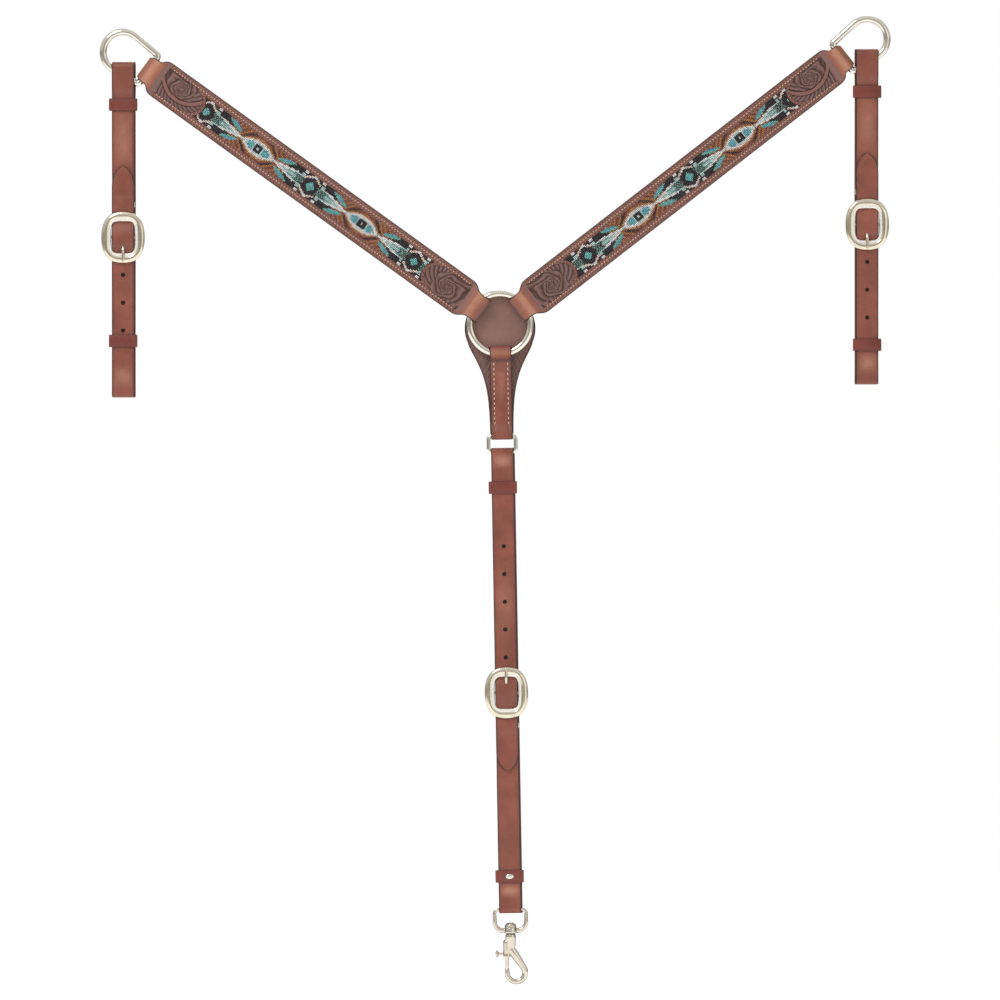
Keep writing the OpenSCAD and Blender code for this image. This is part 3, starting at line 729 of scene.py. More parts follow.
def arm_path():
    """Front leather of an arm: back tail, chest loop, front, shoulder loop, back tail."""
    fold = RING_WIRE + GAP + ARM_T / 2
    chest = math.sqrt((RING_R - RING_WIRE) ** 2 - (CHEST_LOOP_W / 2) ** 2) + RING_WIRE
    path = np.concatenate([
        [[SLAB_START + 56, -SLAB_Z], [SLAB_START, -SLAB_Z], [40, -fold]],
        arc([chest, 0], fold, -90, -270),
        [[40, fold], [SLAB_START, SLAB_Z], [SLAB_END, SLAB_Z], [ARM_BAR - 9.5, fold]],
        arc([ARM_BAR, 0], fold, 90, -90),
        [[ARM_BAR - 9.5, -fold], [SLAB_END, -SLAB_Z], [SLAB_END - 56, -SLAB_Z]],
    ])
    fine = lambda p: 0.55 if p[1] > 0 and SLAB_START - 6 < p[0] < SLAB_END + 6 else 1.3
    return spaced(rounded(path, 3.5), fine)


def motif(u, v):
    """Bead colour, from the distance along the strip to a medallion and the distance off its middle."""
    period = MEDALLION_PITCH
    u = abs((u + period / 2) % period - period / 2)
    v = abs(v)
    d = period / 2 - u
    lens = 8.0 * max(0.0, math.cos(math.pi / 2 * min(1, u / 21))) ** 0.85
    dark_arc = 5 + (21 - u) * 0.78
    if u < 21 and v < lens:
        if u < 4.8 and v < 4.6:
            return "mist" if u < 1.2 and v < 1.2 else "black"
        if 6.2 < u < 14 and v < 4.4 - abs(u - 9.5) * 0.45:
            return "turquoise" if v < 2.2 else "blue"
        return "white" if v > lens - 2.4 else "mist"
    if 8.5 < u < 22.5 and abs(v - dark_arc) < 1.5:
        return "umber"
    if u < 22.5 and v < 1.3:
        return "mist"
    if u < 22.5 and v < dark_arc:
        return "cream" if v < lens + 1.4 else "gold" if v < lens + 3.4 else "rust"
    streak = 0.8 + (u - 22) * 0.19
    leaf = 5.6 + (u - 26) * 0.31
    thick = 2.9 * math.sin(math.pi * min(max((u - 25) / 22, 0), 1))
    if 22 <= u < 52 and v < streak + 0.4:
        if v > streak - 2.3:
            return "white"
        return "mist" if v < 0.8 else "teal" if u > 44 or v < 1.8 else "turquoise"
    if 25 < u < 47 and abs(v - leaf) < thick:
        return "turquoise" if v < leaf + 0.8 else "blue"
    if 38 < u < 57 and streak - 1 < v < 13.5 and (v < leaf or u > 45):
        return "black" if u > 42 else "umber"
    if u < 45:
        return "gold" if (u + v) % 7 < 3 else "rust"
    if abs(d - 12.6) < 2.2 and v > 10.8:
        return "white"
    if d < 10.5 and abs(v - (12.6 - d * 0.57)) < 1.45:
        return "cream" if d > 3 else "white"
    if d + v < 5.6:
        return "turquoise"
    if d + v < 10.6:
        return "black"
    if v < 5 and d > 9:
        return "teal" if int(u / 1.6 + v / 1.6) % 2 else "umber"
    if v < 8.5 and d > 11:
        return "mist"
    return "black" if v < 11.5 else "umber"


def bead_inlay(side):
    """Rows of seed beads over the inlay, coloured by the motif."""
    pitch_y, columns = 1.5, 18
    pitch_x = INLAY_W / columns
    rng = random.Random(17 if side == "left" else 18)
    places, paint, shades = [], [], []
    floor = SLAB_Z + ARM_T / 2 - 1.2
    for row in range(int((INLAY_END - INLAY_START + 24) / pitch_y)):
        y = INLAY_START - 12 + (row + 0.5) * pitch_y
        for column in range(columns):
            x = (column + 0.5) * pitch_x - INLAY_W / 2
            near = min(math.hypot(y - INLAY_START + ARC_BACK, x), math.hypot(y - INLAY_END - ARC_BACK, x))
            if near < ARC_R + 0.6:
                continue
            jitter = [rng.uniform(-0.07, 0.07) for _ in range(3)]
            places.append((x + jitter[0], y + jitter[1], floor + 0.62 + 0.6 * jitter[2]))
            paint.append(BEAD_NAMES.index(motif(y - MEDALLION_AT[side], x)))
            shades.append(rng.random())
    a = np.linspace(0, 2 * math.pi, 8, endpoint=False) + math.pi / 8
    levels = [(-0.5, 0.56), (0.14, 0.79), (0.7, 0.4)]
    rings = [[(r * math.cos(k) * 0.98, r * math.sin(k), h) for k in a] for h, r in levels]
    points, faces = loft(rings)
    quads = [f for f in faces if len(f) == 4]
    for cap in (f for f in faces if len(f) > 4):
        quads += [[cap[0], cap[k], cap[k + 1], cap[k + 2]] for k in (1, 3, 5)]
    shape = scatter((points, quads), places)
    piece(f"bead_inlay_{side}", shape, arm_place(side), f"arm_{side}", BEAD_MATERIALS,
          [f"arm_inlay_{side}"], {"shade": np.repeat(shades, len(points))}, np.repeat(paint, len(quads)), 180)


def arm(side):
    place, body = arm_place(side), f"arm_{side}"
    path = arm_path()
    shape, marks = sheet(path, arm_half(path[:, 0]), ARM_T, 88, 0.9, arm_relief, 6)
    piece(f"arm_front_leather_{side}", shape, place, body, [TOOLED_LEATHER],
          [f"arm_front_{side}"], marks)
    bead_inlay(side)
    edge = ARM_W / 2 - STITCH_IN
    rows = [(x, SLAB_START + 4, SLAB_END - 4) for x in (-edge, edge)]
    front = stitches(rows, STITCH_PITCH, SLAB_Z + ARM_T / 2 - 0.15)
    back_z = -SLAB_Z - ARM_T / 2 - LINING_T
    back = stitches(rows, STITCH_PITCH, back_z + 0.1, facing=-1)
    piece(f"arm_stitches_{side}", joined(front, back), place, body, [TAN_THREAD],
          [f"arm_thread_{side}"], sharp=180)
    layers = (("filler", SLAB_START + 56.1, SLAB_END - 56.1, -SLAB_Z, ARM_T - 0.1, FILLER_LEATHER, "edge_leather"),
              ("lining", SLAB_START + 2, SLAB_END - 2, back_z + LINING_T / 2, LINING_T, LINING_LEATHER, "lining_leather"))
    for layer, low, high, z, thick, material, slot in layers:
        flat = spaced(np.array([[high, z], [low, z]]), lambda p: 3.0)
        width = np.minimum(ARM_W / 2 - 0.1, arm_half(flat[:, 0]))
        shape, marks = sheet(flat, width, thick, 24, 0.6, lining_relief)
        piece(f"arm_{layer}_leather_{side}", shape, place, body, [material], [f"arm_{layer}_{side}"], marks)


def lining_relief(along, x, to_edge, facing):
    height = -0.25 * bump(to_edge - STITCH_IN, 1.2)
    return {"height": height, "tone": 0.5 * bump(to_edge - STITCH_IN, 1.4)}


# ---------- chest group ----------


def pad_half(y):
    """Half width of the safe: a round head that eases into a narrow tail."""
    head = np.sqrt(np.clip(PAD_R**2 - (y + 5) ** 2, 0, None))
    widest = math.sqrt(PAD_R**2 - 16**2)
    tail = 13 + (widest - 13) * np.exp(-np.power(np.clip((-y - 21) / 33.5, 0, None), 1.4))
    return np.maximum(np.where(y > -21, head, tail), 0.5)


def pad_relief(along, x, to_edge, facing):
    """Plain inside the ring, carved around it and down both sides of the tail."""
    r = np.hypot(along, x)
    carved = smooth(36.5, 38, r) * smooth(0.9, 2.0, to_edge)
    leaves = bevelled((along + 4 * np.cos(along / 9.0)) / 7.0 + np.abs(x) / 6.0, 0.5)
    seeds = -0.45 * (0.5 + 0.5 * np.cos(along * 1.5) * np.cos((x + along / 2) * 1.5)) ** 2
    height = (leaves + seeds) * carved
    height -= 0.35 * bump(to_edge - 2.2, 0.5)
    rows = stamping(np.arctan2(x, along) * 38 + along, to_edge - 3.6) * smooth(40, 46, r)
    height += 0.5 * rows
    tone = 0.12 + 0.5 * carved
    return {"height": height, "tone": tone, "relief": np.clip(1 + height / 0.7, 0, 1)}


def chest_group():
    ring = tube(arc((0, 0), RING_R, 0, 360, 120)[:-1], RING_WIRE - SLACK, 28, closed=True)
    weld = tube(arc((0, 0), RING_R, 88.5, 91.5, 4), [3.9, 3.99, 4.02, 3.99, 3.9], 28)
    piece("chest_ring_wire", joined(ring, weld), DROP, "chest_ring", [BRIGHT_NICKEL], ["chest_ring"])

    top = PAD_R - 5 - 0.05
    rows = np.concatenate([np.arange(-PAD_END, 20, 0.6), top - (top - 20) * np.linspace(1, 0, 60) ** 2])
    path = np.stack([rows, np.full(len(rows), PAD_FRONT - PAD_T / 2)], 1)
    shape, marks = sheet(path, pad_half(rows), PAD_T, 110, 1.0, pad_relief, 6)
    piece("chest_pad_leather", shape, DROP, "ring_drop", [PAD_LEATHER], ["chest_pad"], marks)

    front, back = -2.9, -2.9 - STRAP_T - GAP
    fold = math.sqrt((RING_R - RING_WIRE) ** 2 - (RING_STRAP_W / 2) ** 2) + RING_WIRE
    ring_fold, loop_fold = RING_WIRE + FOLD_IN, LOOP_WIRE + FOLD_IN
    path = np.concatenate([
        [[-71, back], [-113, back]],
        arc((-LOOP_TOP, LOOP_Z), loop_fold, -90, -270),
        [[4 - LOOP_TOP, LOOP_Z + loop_fold], [-113, front], [-57, front], [-42, ring_fold]],
        arc((-fold, 0), ring_fold, 90, -90),
        [[-46, back], [-70, back]],
    ])
    path = spaced(rounded(path, 5), lambda p: 0.9)

    def relief(along, x, to_edge, facing):
        on_face = (facing > 0.9) & (along < -45)
        groove = bump(np.abs(x) - 7.8, 1.1) * on_face
        # Painted shade: a dark band just below the highlight on the ring fold. Painted highlight: a pale band on the
        # fold and a pale streak down the middle of the face.
        tone = 0.35 * groove + 0.25 * bump(to_edge - 2.3, 0.7) + 0.6 * bump(along + 41, 3.5) * (facing > 0.3)
        pull = 0.5 * bump(along + 33, 6) * (facing > 0.3) + 0.3 * bump(x, 7) * bump(along + 68, 30) * on_face
        return {"height": crease(to_edge) - 0.4 * groove, "tone": np.clip(tone, 0, 1), "pull": pull}

    shape, marks = sheet(path, RING_STRAP_W / 2, STRAP_T, 34, 0.9, relief)
    piece("ring_strap_leather", shape, DROP, "ring_drop", [STRAP_LEATHER], ["ring_strap"], marks)
    rows = [(x, -115, -42.5) for x in (-7.8, 7.8)]
    points, faces = stitches(rows, 5.55, STRAP_T / 2 - 0.05, 3.4, 0.6)
    top_run = path[(normals(path)[:, 1] > 0.5) & (path[:, 0] < -38)]
    order = np.argsort(top_run[:, 0])
    points[:, 2] += np.interp(points[:, 1], top_run[order, 0], top_run[order, 1])
    piece("ring_strap_stitches", (points, faces), DROP, "ring_drop", [PALE_THREAD],
          ["ring_strap_thread"], sharp=180)

    x, y, k = LOOP_W / 2 - LOOP_WIRE, LOOP_H - 2 * LOOP_WIRE, LOOP_CORNER
    corners = [(x - k, -k, 90, 0), (x - k, k - y, 0, -90), (k - x, k - y, -90, -180), (k - x, -k, 180, 90)]
    path = np.concatenate([arc((cx, cy - LOOP_TOP), k, a, b, 8) for cx, cy, a, b in corners])
    piece("square_loop_wire", tube(path, LOOP_WIRE, 20, closed=True, z=LOOP_Z), DROP, "square_loop",
          [BRIGHT_NICKEL], ["square_loop"])


def shoulder_ring(side):
    length = ARM_REACH - ARM_BAR
    k = PEAR_CORNER
    run = (length - k - (PEAR_R - k) * math.sin(PEAR_CONE)) / math.cos(PEAR_CONE)
    bar = PEAR_R * math.cos(PEAR_CONE) - run * math.sin(PEAR_CONE) - k * math.cos(PEAR_CONE)
    cone = math.degrees(PEAR_CONE)
    path = np.concatenate([
        arc((0, 0), PEAR_R, -cone, 180 + cone, 64),
        arc((-bar, k - length), k, 180 + cone, 270, 10),
        arc((bar, k - length), k, 270, 360 - cone, 10),
    ])
    path[:, 1] += ARM_REACH
    piece(f"shoulder_ring_wire_{side}", tube(path, PEAR_WIRE - SLACK, 24, closed=True), arm_place(side),
          f"shoulder_ring_{side}", [BRIGHT_NICKEL], [f"shoulder_ring_{side}"])


# ---------- looped straps ----------


def strap_path(chape, chape_r, open_len, plain, plain_r, tip):
    """Buckle fold, chape run, chape fold, back run, plain fold, then the billet up through the buckle."""
    top, low, run, bar_fold = chape - open_len, -plain, HALF_STACK, BAR_R + FOLD_IN
    return np.concatenate([
        [[SCREW_UP + 9, -1.9], [13, -1.9]],
        arc((0, BAR_Z), bar_fold, -90, -270),
        [[2.5, BAR_Z + bar_fold], [15.2, 0.65], [52, 0.65], [112, run], [top - 10, run], [top - 8, run], [top, chape_r]],
        arc((chape, 0), chape_r, 90, -90),
        [[top, -chape_r], [top - 8, -run], [top - 10, -run], [112, -run], [54, -5.8], [28, -5.8], [16, -4.6], [0, -3.7],
         [-85, -run], [low + 14, -run], [low + 4, -plain_r]],
        arc((low, 0), plain_r, -90, -270),
        [[low + 4, plain_r], [low + 14, run], [-85, run], [-31, 3.2], [-16.6, 3.2], [-9, BAR_Z + 5.85],
         [3.5, BAR_Z + 5.85], [16.4, 3.2], [29.8, 3.2], [32.6, 4.75], [43, 4.75], [47, 3.4], [tip, 3.9]],
    ])


def looped_strap(name, place, body, node, chape, chape_r, open_len, plain, plain_r, tip, holes, painted_highlights):
    """A strap with its two folds, a spade-shaped billet tip and punched holes."""

    def fine(p):
        near = min(abs(p[0] - h) for h in holes)
        return 0.4 if near < 3.2 and p[1] > 0 else 1.1

    path = spaced(rounded(strap_path(chape, chape_r, open_len, plain, plain_r, tip), 5), fine)
    left = np.concatenate([[0], np.cumsum(np.linalg.norm(np.diff(path, axis=0), axis=1))])
    left = left[-1] - left
    u = np.clip(left / 24, 0, 1)
    half = np.maximum(STRAP_W / 2 * (1 - (1 - u) ** 2.4) ** 0.6, 0.8)
    shift = -BACK_SHIFT * smooth(1.5, -1.5, path[:, 1]) * (left > 60) * smooth(30, 60, left[0] - left)
    shape, marks = sheet(path, half, STRAP_T, 52, 0.9, strap_relief(holes, painted_highlights), shift=shift)
    piece(name, shape, place, body, [STRAP_LEATHER], [node], marks)


def superoval(w, h, p, steps):
    a = np.linspace(0, 2 * math.pi, steps, endpoint=False)
    c, s = np.cos(a), np.sin(a)
    return np.stack([w / 2 * np.sign(c) * np.abs(c) ** (2 / p), h / 2 * np.sign(s) * np.abs(s) ** (2 / p)], 1)


def buckle(name, place, body, node):
    """Domed oval frame with a raised bead round its window and a bar set back behind."""
    steps = 96
    outer = superoval(BUCKLE_W, BUCKLE_H, 2.35, steps)
    inner = superoval(WINDOW_W, WINDOW_H, 5.0, steps)
    profile = [(0.0, 0.0), (0.0, 1.0), (0.05, 2.2), (0.15, 3.2), (0.32, 3.85), (0.5, 4.0), (0.62, 3.7),
               (0.68, 3.2), (0.74, 3.3), (0.84, 3.45), (0.93, 3.1), (0.99, 2.2), (1.0, 1.0), (1.0, 0.0)]
    rings = [[(*(o + (i - o) * t), RIM_BACK + z) for t, z in profile] for o, i in zip(outer, inner)]
    parts = [loft(rings, closed=True)]
    # The inner bevel's faces get the painted reflection material.
    bevel = [1 if t > 0.65 and z > 1.5 else 0 for t, z in profile] * steps
    half = WINDOW_W / 2
    parts.append(tube([(-half - 3.4, 0), (half + 3.4, 0)], BAR_R, 20, z=BAR_Z))
    for s in (-1, 1):
        x = s * (half + 3)
        block = [[(x + a, b, z) for a, b in ((-2.4, -3.8), (2.4, -3.8), (2.4, 3.8), (-2.4, 3.8))]
                 for z in (BAR_Z - BAR_R, BAR_Z - 0.4, RIM_BACK + 1)]
        parts.append(loft(block))
    shape = joined(*parts)
    paint = bevel + [0] * (len(shape[1]) - len(bevel))
    piece(name, shape, place, body, [NICKEL, PAINTED_REFLECTION_NICKEL], [node], paint=paint, sharp=50)


def tongue(name, place, body, node):
    """Flattened wire tongue with an eye that turns on the bar."""
    eye = lathe([(BAR_R + 0.06, -2.3), (3.1, -2.3), (3.3, -1.9), (3.3, 1.9), (3.1, 2.3), (BAR_R + 0.06, 2.3)],
                (0, 0, BAR_Z), "x")
    run = rounded([[-2, 1], [-8.5, 3.4], [-14.6, 7.25], [-26, 7.25], [-28.4, 6.9]], 3)
    run = spaced(run, lambda p: 0.7)
    widths = np.interp(run[:, 0], [-28.4, -27.6, -24, -2], [0.5, 1.15, 1.5, 1.6])
    n = normals(run)
    a = np.linspace(0, 2 * math.pi, 14, endpoint=False)
    rings = [[(w * math.cos(k), p[0] + q[0] * 1.15 * w / 1.6 * math.sin(k),
               BAR_Z + p[1] + q[1] * 1.15 * w / 1.6 * math.sin(k)) for k in a]
             for p, q, w in zip(run, n, widths)]
    piece(name, joined(eye, loft(rings)), place, body, [NICKEL], [node], sharp=60)


def screws(name, place, body, post, cap):
    """Two-part screw: a domed slotted head in front and a domed post behind."""
    front = [(0.0, 0.0), (4.9, 0.0), (4.9, 0.4), (4.5, 0.85), (3.2, 1.15), (1.6, 1.25), (0.0, 1.25)]
    back = [(0.0, 1.2), (4.9, 1.2), (4.9, 0.8), (4.4, 0.3), (3.0, 0.05), (0.0, 0.0)]
    at = (-SCREW_IN, SCREW_UP)
    head = lathe([(max(r, 0.02), h) for r, h in front], (*at, 1.95))
    shaft = lathe([(0.02, 0), (1.2, 0), (1.2, 3.8), (0.02, 3.8)], (*at, -1.8))
    slot = loft([[(at[0] + x, at[1] + y, z) for x, y in ((-3.3, -0.45), (3.3, -0.45), (3.3, 0.45), (-3.3, 0.45))]
                 for z in (3.12, 3.24)])
    piece(name + "_cap", joined(head, shaft, slot), place, body, [NICKEL], [cap])
    base = lathe([(max(r, 0.02), h) for r, h in back], (*at, -4.35))
    sleeve = lathe([(1.3, 0), (2.0, 0), (2.0, 5.1), (1.3, 5.1)], (*at, -3.2))
    piece(name + "_post", joined(base, sleeve), place, body, [NICKEL], [post])


def keeper(name, place, body, node, v, tilt=0.0):
    """Leather band round both runs of a strap, its ends butted and sewn behind."""
    z = HALF_STACK + STRAP_T / 2 + 0.15
    thick = 1.7
    w = KEEPER_W / 2 - thick
    k = 2.2
    corners = [(w - k + 1.4, z - k + 0.9, 0, 90), (-w + k - 1.4, z - k + 0.9, 90, 180),
               (-w + k - 1.4, -z + k - 0.9, 180, 270), (w - k + 1.4, -z + k - 0.9, 270, 360)]
    middle = np.concatenate([arc((cx, cy), k, a, b, 8) for cx, cy, a, b in corners])
    middle[:, 0] *= (w + thick / 2) / middle[:, 0].max()
    middle[:, 1] *= (z + thick / 2 + 0.03) / middle[:, 1].max()
    long_side = np.linspace(0, 1, 14)[1:-1, None]
    path = []
    for p, q in zip(middle, np.roll(middle, -1, 0)):
        path.append([p])
        if np.linalg.norm(q - p) > 4:
            path.append(p + (q - p) * long_side)
    path = np.concatenate(path)
    d = np.roll(path, -1, 0) - np.roll(path, 1, 0)
    n = np.stack([d[:, 1], -d[:, 0]], 1) / np.linalg.norm(d, axis=1)[:, None]
    h = KEEPER_H / 2
    ys = [-h, -h + 0.12, -h + 0.5, -h + 1.6, -h + 2.0, -h + 2.4, 0, h - 2.4, h - 2.0, h - 1.6, h - 0.5, h - 0.12, h]
    outs = [0, 0.62, 0.95, 1.0, 0.82, 1.0, 1.0, 1.0, 0.82, 1.0, 0.95, 0.62, 0]
    section = [(y, thick / 2 * o) for y, o in zip(ys, outs)] + [
        (h - 0.5, -thick / 2), (0, -thick / 2), (-h + 0.5, -thick / 2)]
    rim = np.array([1.0 if abs(y) > h - 0.3 else 0.0 for y, _ in section])
    flesh = np.array([0.0] * len(ys) + [1.0] * 3)
    rings = [[(p[0] + q[0] * o, v + y + tilt * p[0], p[1] + q[1] * o) for y, o in section] for p, q in zip(path, n)]
    marks = {"rim": np.tile(rim, len(path)), "flesh": np.tile(flesh, len(path)) * 0.6,
             "tone": np.tile([0.4 if abs(abs(y) - h + 2.0) < 0.1 else 0.0 for y, _ in section], len(path))}
    piece(name, loft(rings, closed=True), place, body, [KEEPER_LEATHER], [node], marks)


def tug(side):
    place, body = tug_place(side), f"tug_{side}"
    top = float(joint_at(f"tug_{side}_swing")[2] - joint_at(f"tug_tongue_{side}_lift")[2])
    end = -float(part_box(f"tug_strap_{side}")[0].z / MM - joint_at(f"tug_tongue_{side}_lift")[2])
    fold = top - math.sqrt((PEAR_R - PEAR_WIRE) ** 2 - (STRAP_W / 2) ** 2) - GAP - PEAR_WIRE
    plain_r = 3.2
    holes = [-42.4 - k * PUNCH_PITCH for k in range(3)]
    # The last list places painted highlight bands along the tug strap.
    looped_strap(f"tug_strap_leather_{side}", place, body, f"tug_strap_{side}", fold, PEAR_WIRE + FOLD_IN, 24,
                 end - plain_r - STRAP_T / 2, plain_r, 80, holes, [(112, 45, 0.4), (-157, 15, 0.6)])
    buckle(f"tug_buckle_frame_{side}", place, body, f"tug_buckle_{side}")
    tongue(f"tug_buckle_tongue_{side}", place, f"tug_tongue_{side}", f"tug_tongue_{side}")
    screws(f"tug_screw_{side}", place, body, f"tug_screw_post_{side}", f"tug_screw_cap_{side}")
    for which in ("upper", "lower"):
        node = f"tug_keeper_{which}_{side}"
        low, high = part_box(node)
        middle = (low.z + high.z) / 2 / MM - joint_at(f"tug_tongue_{side}_lift")[2]
        keeper(f"tug_keeper_band_{which}_{side}", place, node, node, middle)


def centre():
    chape, plain = SNAP_BAR - CENTRE_BUCKLE, CENTRE_BUCKLE - LOOP_BOTTOM
    holes = [-40 - k * PUNCH_PITCH for k in range(5)]
    # The last list places painted highlight bands along the centre strap.
    looped_strap("centre_strap_leather", CENTRE, "centre_strap", "centre_strap", chape, EYE_WIRE + FOLD_IN, 2,
                 plain, LOOP_WIRE + FOLD_IN, 88, holes, [(224, 9, 0.8), (-100, 60, 0.25), (10 - plain, 11, 0.7)])
    buckle("centre_buckle_frame", CENTRE, "centre_strap", "centre_buckle")
    tongue("centre_buckle_tongue", CENTRE, "centre_tongue", "centre_tongue")
    screws("centre_screw", CENTRE, "centre_strap", "centre_screw_post", "centre_screw_cap")
    keeper("centre_keeper_band_upper", CENTRE, "centre_keeper_upper", "centre_keeper_upper", -232)
    keeper("centre_keeper_band_lower", CENTRE, "centre_strap", "centre_keeper_lower", 207.5)
    lift = np.linspace(0, 1, 9)
    oval = [(1.0, 4.65), (1.04, 5.0)] + [(math.cos(k * 1.5), 5.2 + 1.3 * math.sin(k * 1.5)) for k in lift]
    rings = [[(4.6 * k * math.cos(a), 207.5 + 2.9 * k * math.sin(a), z)
              for a in np.linspace(0, 2 * math.pi, 40, endpoint=False)] for k, z in oval]
    pin = lathe([(0.02, -2.4), (0.95, -2.4), (0.95, 4.8), (0.02, 4.8)], (0, 207.5, 0))
    piece("keeper_stud_oval", joined(loft(rings), pin), CENTRE, "centre_strap", [BRIGHT_NICKEL],
          ["keeper_stud"], sharp=60)


# ---------- bolt snap ----------


def snap():
    half, bar, drop_to, swing = 17.8, 13.2, -13.8, 10.0
    corner = half - bar
    path = np.concatenate([
        arc((bar, -corner), corner, 90, 0, 8),
        arc((half - swing, drop_to), swing, 0, -90, 14),
        arc((swing - half, drop_to), swing, -90, -180, 14),
        arc((-bar, -corner), corner, 180, 90, 8),
    ])
    wire = np.interp(-path[:, 1], [0, 4, 14, 20, 24], [EYE_WIRE, 2.25, 2.5, 2.6, 3.1])
    collar = [(3.06, -27.4), (5.8, -27.4), (7.3, -26.6), (7.6, -25.2), (7.2, -22.8), (6.7, -20.5), (3.06, -20.5)]
    eye = piece("snap_eye_ring", joined(tube(path, wire, 20, closed=True), lathe(collar, (0, 0, 0), "y")), SNAP,
                "snap_eye", [CAST_NICKEL], ["snap_eye"])
    fused(eye, 0.28)

    head = [(0.02, -14.4), (2.4, -14.6), (4.6, -15.5), (6.2, -17.2), (6.9, -19.2), (6.8, -20.3), (3.0, -20.3),
            (3.0, -27.6), (4.8, -27.6), (5.9, -28.6), (6.3, -31), (5.9, -36), (5.6, -40), (4.6, -44), (0.02, -46)]
    barrel = [(0.02, -33.6), (3.0, -34.0), (4.4, -35.6), (4.5, -38), (4.45, -50), (4.6, -53.4), (2.6, -53.4),
              (2.6, -34.6), (0.02, -34.6)]
    hook_at, hook_r = np.array((5.5, -71.5)), 10.2
    turn = math.radians(33)
    top = hook_at + hook_r * np.array((math.cos(turn), math.sin(turn)))
    lean = np.array((-math.sin(turn), math.cos(turn)))
    arm_run = [top + k * lean for k in (31, 28, 24, 18, 12, 6)]
    path = np.concatenate([
        arm_run, arc(hook_at, hook_r, 33, -180, 30), [hook_at + (-hook_r, k) for k in (2, 4.2, 5.6)]])
    count = len(path)
    wire = np.interp(np.arange(count), [0, 1, 2, 3, 4, 6, 18, count - 4, count - 2, count - 1],
                     [2.0, 3.6, 4.6, 5.0, 4.6, 3.7, 3.4, 3.0, 2.8, 1.8])
    body = piece("snap_hook_body", joined(lathe(head, (0, 0, 0), "y"), lathe(barrel, (-4.4, 0, 0), "y"),
                 tube(path, wire, 24, flat=0.85)), SNAP, "snap_body", [CAST_NICKEL], ["snap_body"])
    slot_half, low, high = 1.8, -51.7 + 1.8, -41.2 - 1.8
    stadium = np.concatenate([arc((0, high), slot_half, 0, 180, 12), arc((0, low), slot_half, 180, 360, 12)])
    fused(body, 0.26, loft([[(x, y, z) for z, y in stadium] for x in (-12, -5.2)]))

    bolt = [(0.02, -41), (1.9, -41), (2.3, -41.4), (2.4, -65), (2.1, -65.5), (0.02, -65.6)]
    piece("snap_bolt_rod", lathe(bolt, (-4.4, 0, 0), "y"), SNAP, "snap_bolt", [CAST_NICKEL],
          ["snap_bolt"])
    knob = [(0.02, -17.6), (2.2, -17.5), (3.6, -17.0), (4.3, -16.2), (4.3, -15.5), (3.6, -14.8), (2.4, -14.4),
            (1.9, -13.6), (1.6, -12.0), (1.5, -2.6), (0.02, -2.5)]
    piece("snap_thumb_knob", lathe(knob, (0, -50, 0), "x"), SNAP, "snap_bolt", [CAST_NICKEL],
          ["snap_thumb_pin"], sharp=60)

    turns, coil, wire = 5, 1.45, 0.35
    height = -33.7 + 41 - 2 * wire
    rings = []
    for k in np.linspace(0, 1, turns * 20 + 1):
        a = 2 * math.pi * turns * k
        ring = []
        for b in np.linspace(0, 2 * math.pi, 8, endpoint=False):
            r = coil + wire * math.cos(b)
            ring.append((-4.4 + r * math.cos(a), -40.6 + height * k + wire * math.sin(b), r * math.sin(a)))
        rings.append(ring)
    spring = piece("snap_coil_spring", loft(rings), SNAP, "snap_body", [SPRING_STEEL],
                   ["snap_spring"], sharp=180)
    spring_top = SNAP.world([(-4.4, -40.6 + height, 0)])[0]
    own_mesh(spring)


# ---------- stage ----------

VIEW_WIDTH = 1.13
VIEW_DISTANCE = 12.0
SENSOR = 36.0


def pale(name, strength):
    """Floor that gives off a little light of its own, so that it meets the pale world softly."""
    s = Shader(name)
    speck = s.noise(6, 2)
    tint = s.mix(s.span(speck, 0.3, 0.7), (0.9, 0.9, 0.9, 1), (0.92, 0.92, 0.92, 1))
    return s.finish(Base_Color=tint, Roughness=0.9, Emission_Color=(1, 1, 1, 1), Emission_Strength=strength)


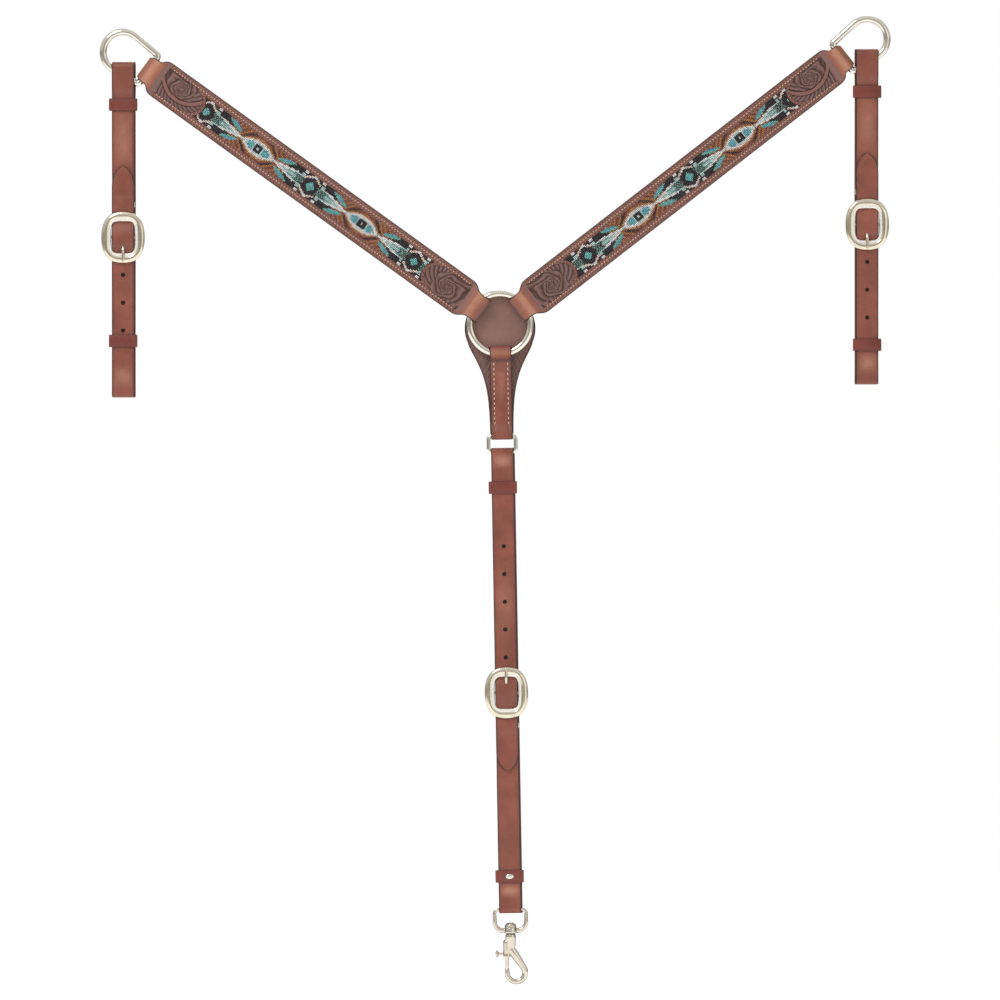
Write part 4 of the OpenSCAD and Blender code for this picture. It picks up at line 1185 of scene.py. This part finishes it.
def studio_world():
    """White to the camera, dimmer to everything else, with a dark band that gives metal its form."""
    world = bpy.data.worlds.new("studio")
    bpy.context.scene.world = world
    world.use_nodes = True
    tree = world.node_tree
    tree.nodes.clear()

    def add(kind, **links):
        node = tree.nodes.new(kind)
        for key, socket in links.items():
            tree.links.new(socket, node.inputs[key.replace("_", " ")])
        return node

    coord = add("ShaderNodeTexCoord")
    parts = add("ShaderNodeSeparateXYZ", Vector=coord.outputs["Generated"])
    height = add("ShaderNodeMapRange", Value=parts.outputs["Z"])
    height.inputs["From Min"].default_value = -1.0
    ramp = add("ShaderNodeValToRGB", Fac=height.outputs["Result"])
    stops = ((0.0, 0.42, 0.36), (0.42, 0.5, 0.45), (0.5, 0.3, 0.27), (0.58, 0.62, 0.6), (1.0, 0.8, 0.8))
    elements = ramp.color_ramp.elements
    for spare in stops[2:]:
        elements.new(0.5)
    for element, (at, bright, warm) in zip(elements, stops):
        element.position = at
        element.color = (bright, (bright + warm) / 2, warm, 1)
    path = add("ShaderNodeLightPath")
    mix = add("ShaderNodeMix")
    mix.data_type = "RGBA"
    mix.inputs[7].default_value = (1.0, 1.0, 1.0, 1)
    tree.links.new(ramp.outputs["Color"], mix.inputs[6])
    tree.links.new(path.outputs["Is Camera Ray"], mix.inputs[0])
    back = add("ShaderNodeBackground", Color=mix.outputs[2])
    add("ShaderNodeOutputWorld", Surface=back.outputs[0])


def stage():
    low, high = cad_box[0], cad_box[1]
    bpy.ops.mesh.primitive_circle_add(vertices=96, radius=3.2, fill_type="NGON", location=(0, 0, low[2] - 0.004))
    floor = bpy.context.object
    floor.name = "floor"
    floor.data.materials.append(pale("floor_white", 0.35))

    studio_world()

    middle = Vector((0, 0, (low[2] + high[2]) / 2))
    for name, at, size, power in (("key", (-1.3, -1.6, 2.2), 1.0, 34), ("fill", (2.2, -2.4, 0.4), 2.0, 8),
                                  ("rim", (0.4, 1.8, 1.8), 1.4, 10)):
        light = bpy.data.lights.new(name, "AREA")
        light.energy, light.size = power, size
        lamp = bpy.data.objects.new(name, light)
        lamp.location = middle + Vector(at)
        lamp.rotation_euler = (middle - lamp.location).to_track_quat("-Z", "Y").to_euler()
        bpy.context.scene.collection.objects.link(lamp)

    view = bpy.data.cameras.new("camera")
    view.sensor_width = SENSOR
    view.lens = SENSOR * VIEW_DISTANCE / VIEW_WIDTH
    view.clip_end = 100
    camera = bpy.data.objects.new("camera", view)
    camera.location = middle + Vector((0, -VIEW_DISTANCE, 0))
    camera.rotation_euler = (math.pi / 2, 0, 0)
    bpy.context.scene.collection.objects.link(camera)
    bpy.context.scene.camera = camera
    bpy.context.scene.view_settings.view_transform = "Standard"


for arm_side in SIDES:
    arm(arm_side)
    shoulder_ring(arm_side)
    tug(arm_side)
chest_group()
centre()
snap()
stage()
